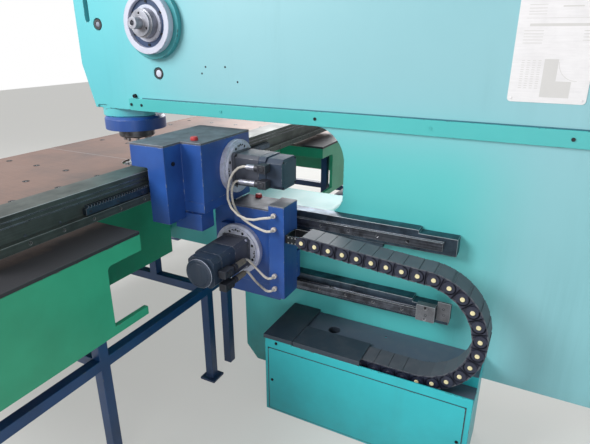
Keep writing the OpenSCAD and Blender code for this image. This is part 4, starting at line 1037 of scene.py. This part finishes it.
# Those rays see a plainer floor, with less of the lamps' pools and an even pale glow
floor_seen = plainly_seen(floor_tree)
floor_tone = add(
    floor_tree, "ShaderNodeMix",
    {0: floor_seen, 6: linear("#D9D9D6"), 7: linear("#A6A6A4")}, data_type="RGBA",
)
floor_tree.links.new(floor_tone.outputs[2], floor_shader.inputs["Base Color"])
floor_glow = add(floor_tree, "ShaderNodeMath", {0: floor_seen, 1: 0.55}, operation="MULTIPLY")
floor_shader.inputs["Emission Color"].default_value = linear("#D9D9D6")
floor_tree.links.new(floor_glow.outputs[0], floor_shader.inputs["Emission Strength"])
ground_plane = bmesh.new()
bmesh.ops.create_grid(ground_plane, x_segments=1, y_segments=1, size=14)
floor_mesh = bpy.data.meshes.new("floor")
ground_plane.to_mesh(floor_mesh)
ground_plane.free()
floor_mesh.materials.append(floor_paint)
floor = bpy.data.objects.new("floor", floor_mesh)
bpy.context.scene.collection.objects.link(floor)

world = bpy.data.worlds.new("soft_room")
bpy.context.scene.world = world
world.use_nodes = True
room = world.node_tree
for old in list(room.nodes):
    room.nodes.remove(old)
# The room lights the press softly, and looks white
strength = add(
    room, "ShaderNodeMapRange", {"Value": plainly_seen(room), "To Min": 0.27, "To Max": 1.0}
)
sky = add(
    room, "ShaderNodeBackground", {"Color": (1, 1, 1, 1), "Strength": strength.outputs["Result"]}
)
add(room, "ShaderNodeOutputWorld", {"Surface": sky.outputs["Background"]})


def lamp(name, place, target, size, power):
    """A round soft lamp that looks at a target; places and size are in metres."""
    light = bpy.data.lights.new(name, "AREA")
    light.shape = "DISK"
    light.size = size
    light.energy = power
    made = bpy.data.objects.new(name, light)
    made.location = place
    made.rotation_euler = (Vector(target) - Vector(place)).to_track_quat("-Z", "Y").to_euler()
    bpy.context.scene.collection.objects.link(made)


lamp("window_light", (3.6, -2.6, 3.6), (0.2, 0.1, 0.9), 2.6, 245)
lamp("room_fill", (4.2, 2.0, 1.5), (0.2, 0.4, 0.7), 2.4, 44)
lamp("overhead", (-1.2, -0.6, 4.6), (0, 0, 0.8), 3.5, 16)
lamp("rear_fill", (-4.2, -2.2, 3.0), (0, 0.2, 0.9), 3.0, 130)

# The camera's own axes and place, worked out from the photo's vanishing points
right = Vector((-0.4577, 0.8891, 0.0))
up = Vector((-0.3132, -0.1612, 0.936))
back = Vector((0.8321, 0.4284, 0.3522))
eye = Vector((1.939, 0.89, 1.552))
lens = bpy.data.cameras.new("photo_camera")
lens.lens = 30.29
lens.sensor_width = 36.0
lens.clip_start = 0.05
lens.clip_end = 60.0
camera = bpy.data.objects.new("photo_camera", lens)
camera.matrix_world = Matrix.Translation(eye) @ Matrix((right, up, back)).transposed().to_4x4()
bpy.context.scene.collection.objects.link(camera)
bpy.context.scene.camera = camera
bpy.context.scene.view_settings.view_transform = "Standard"
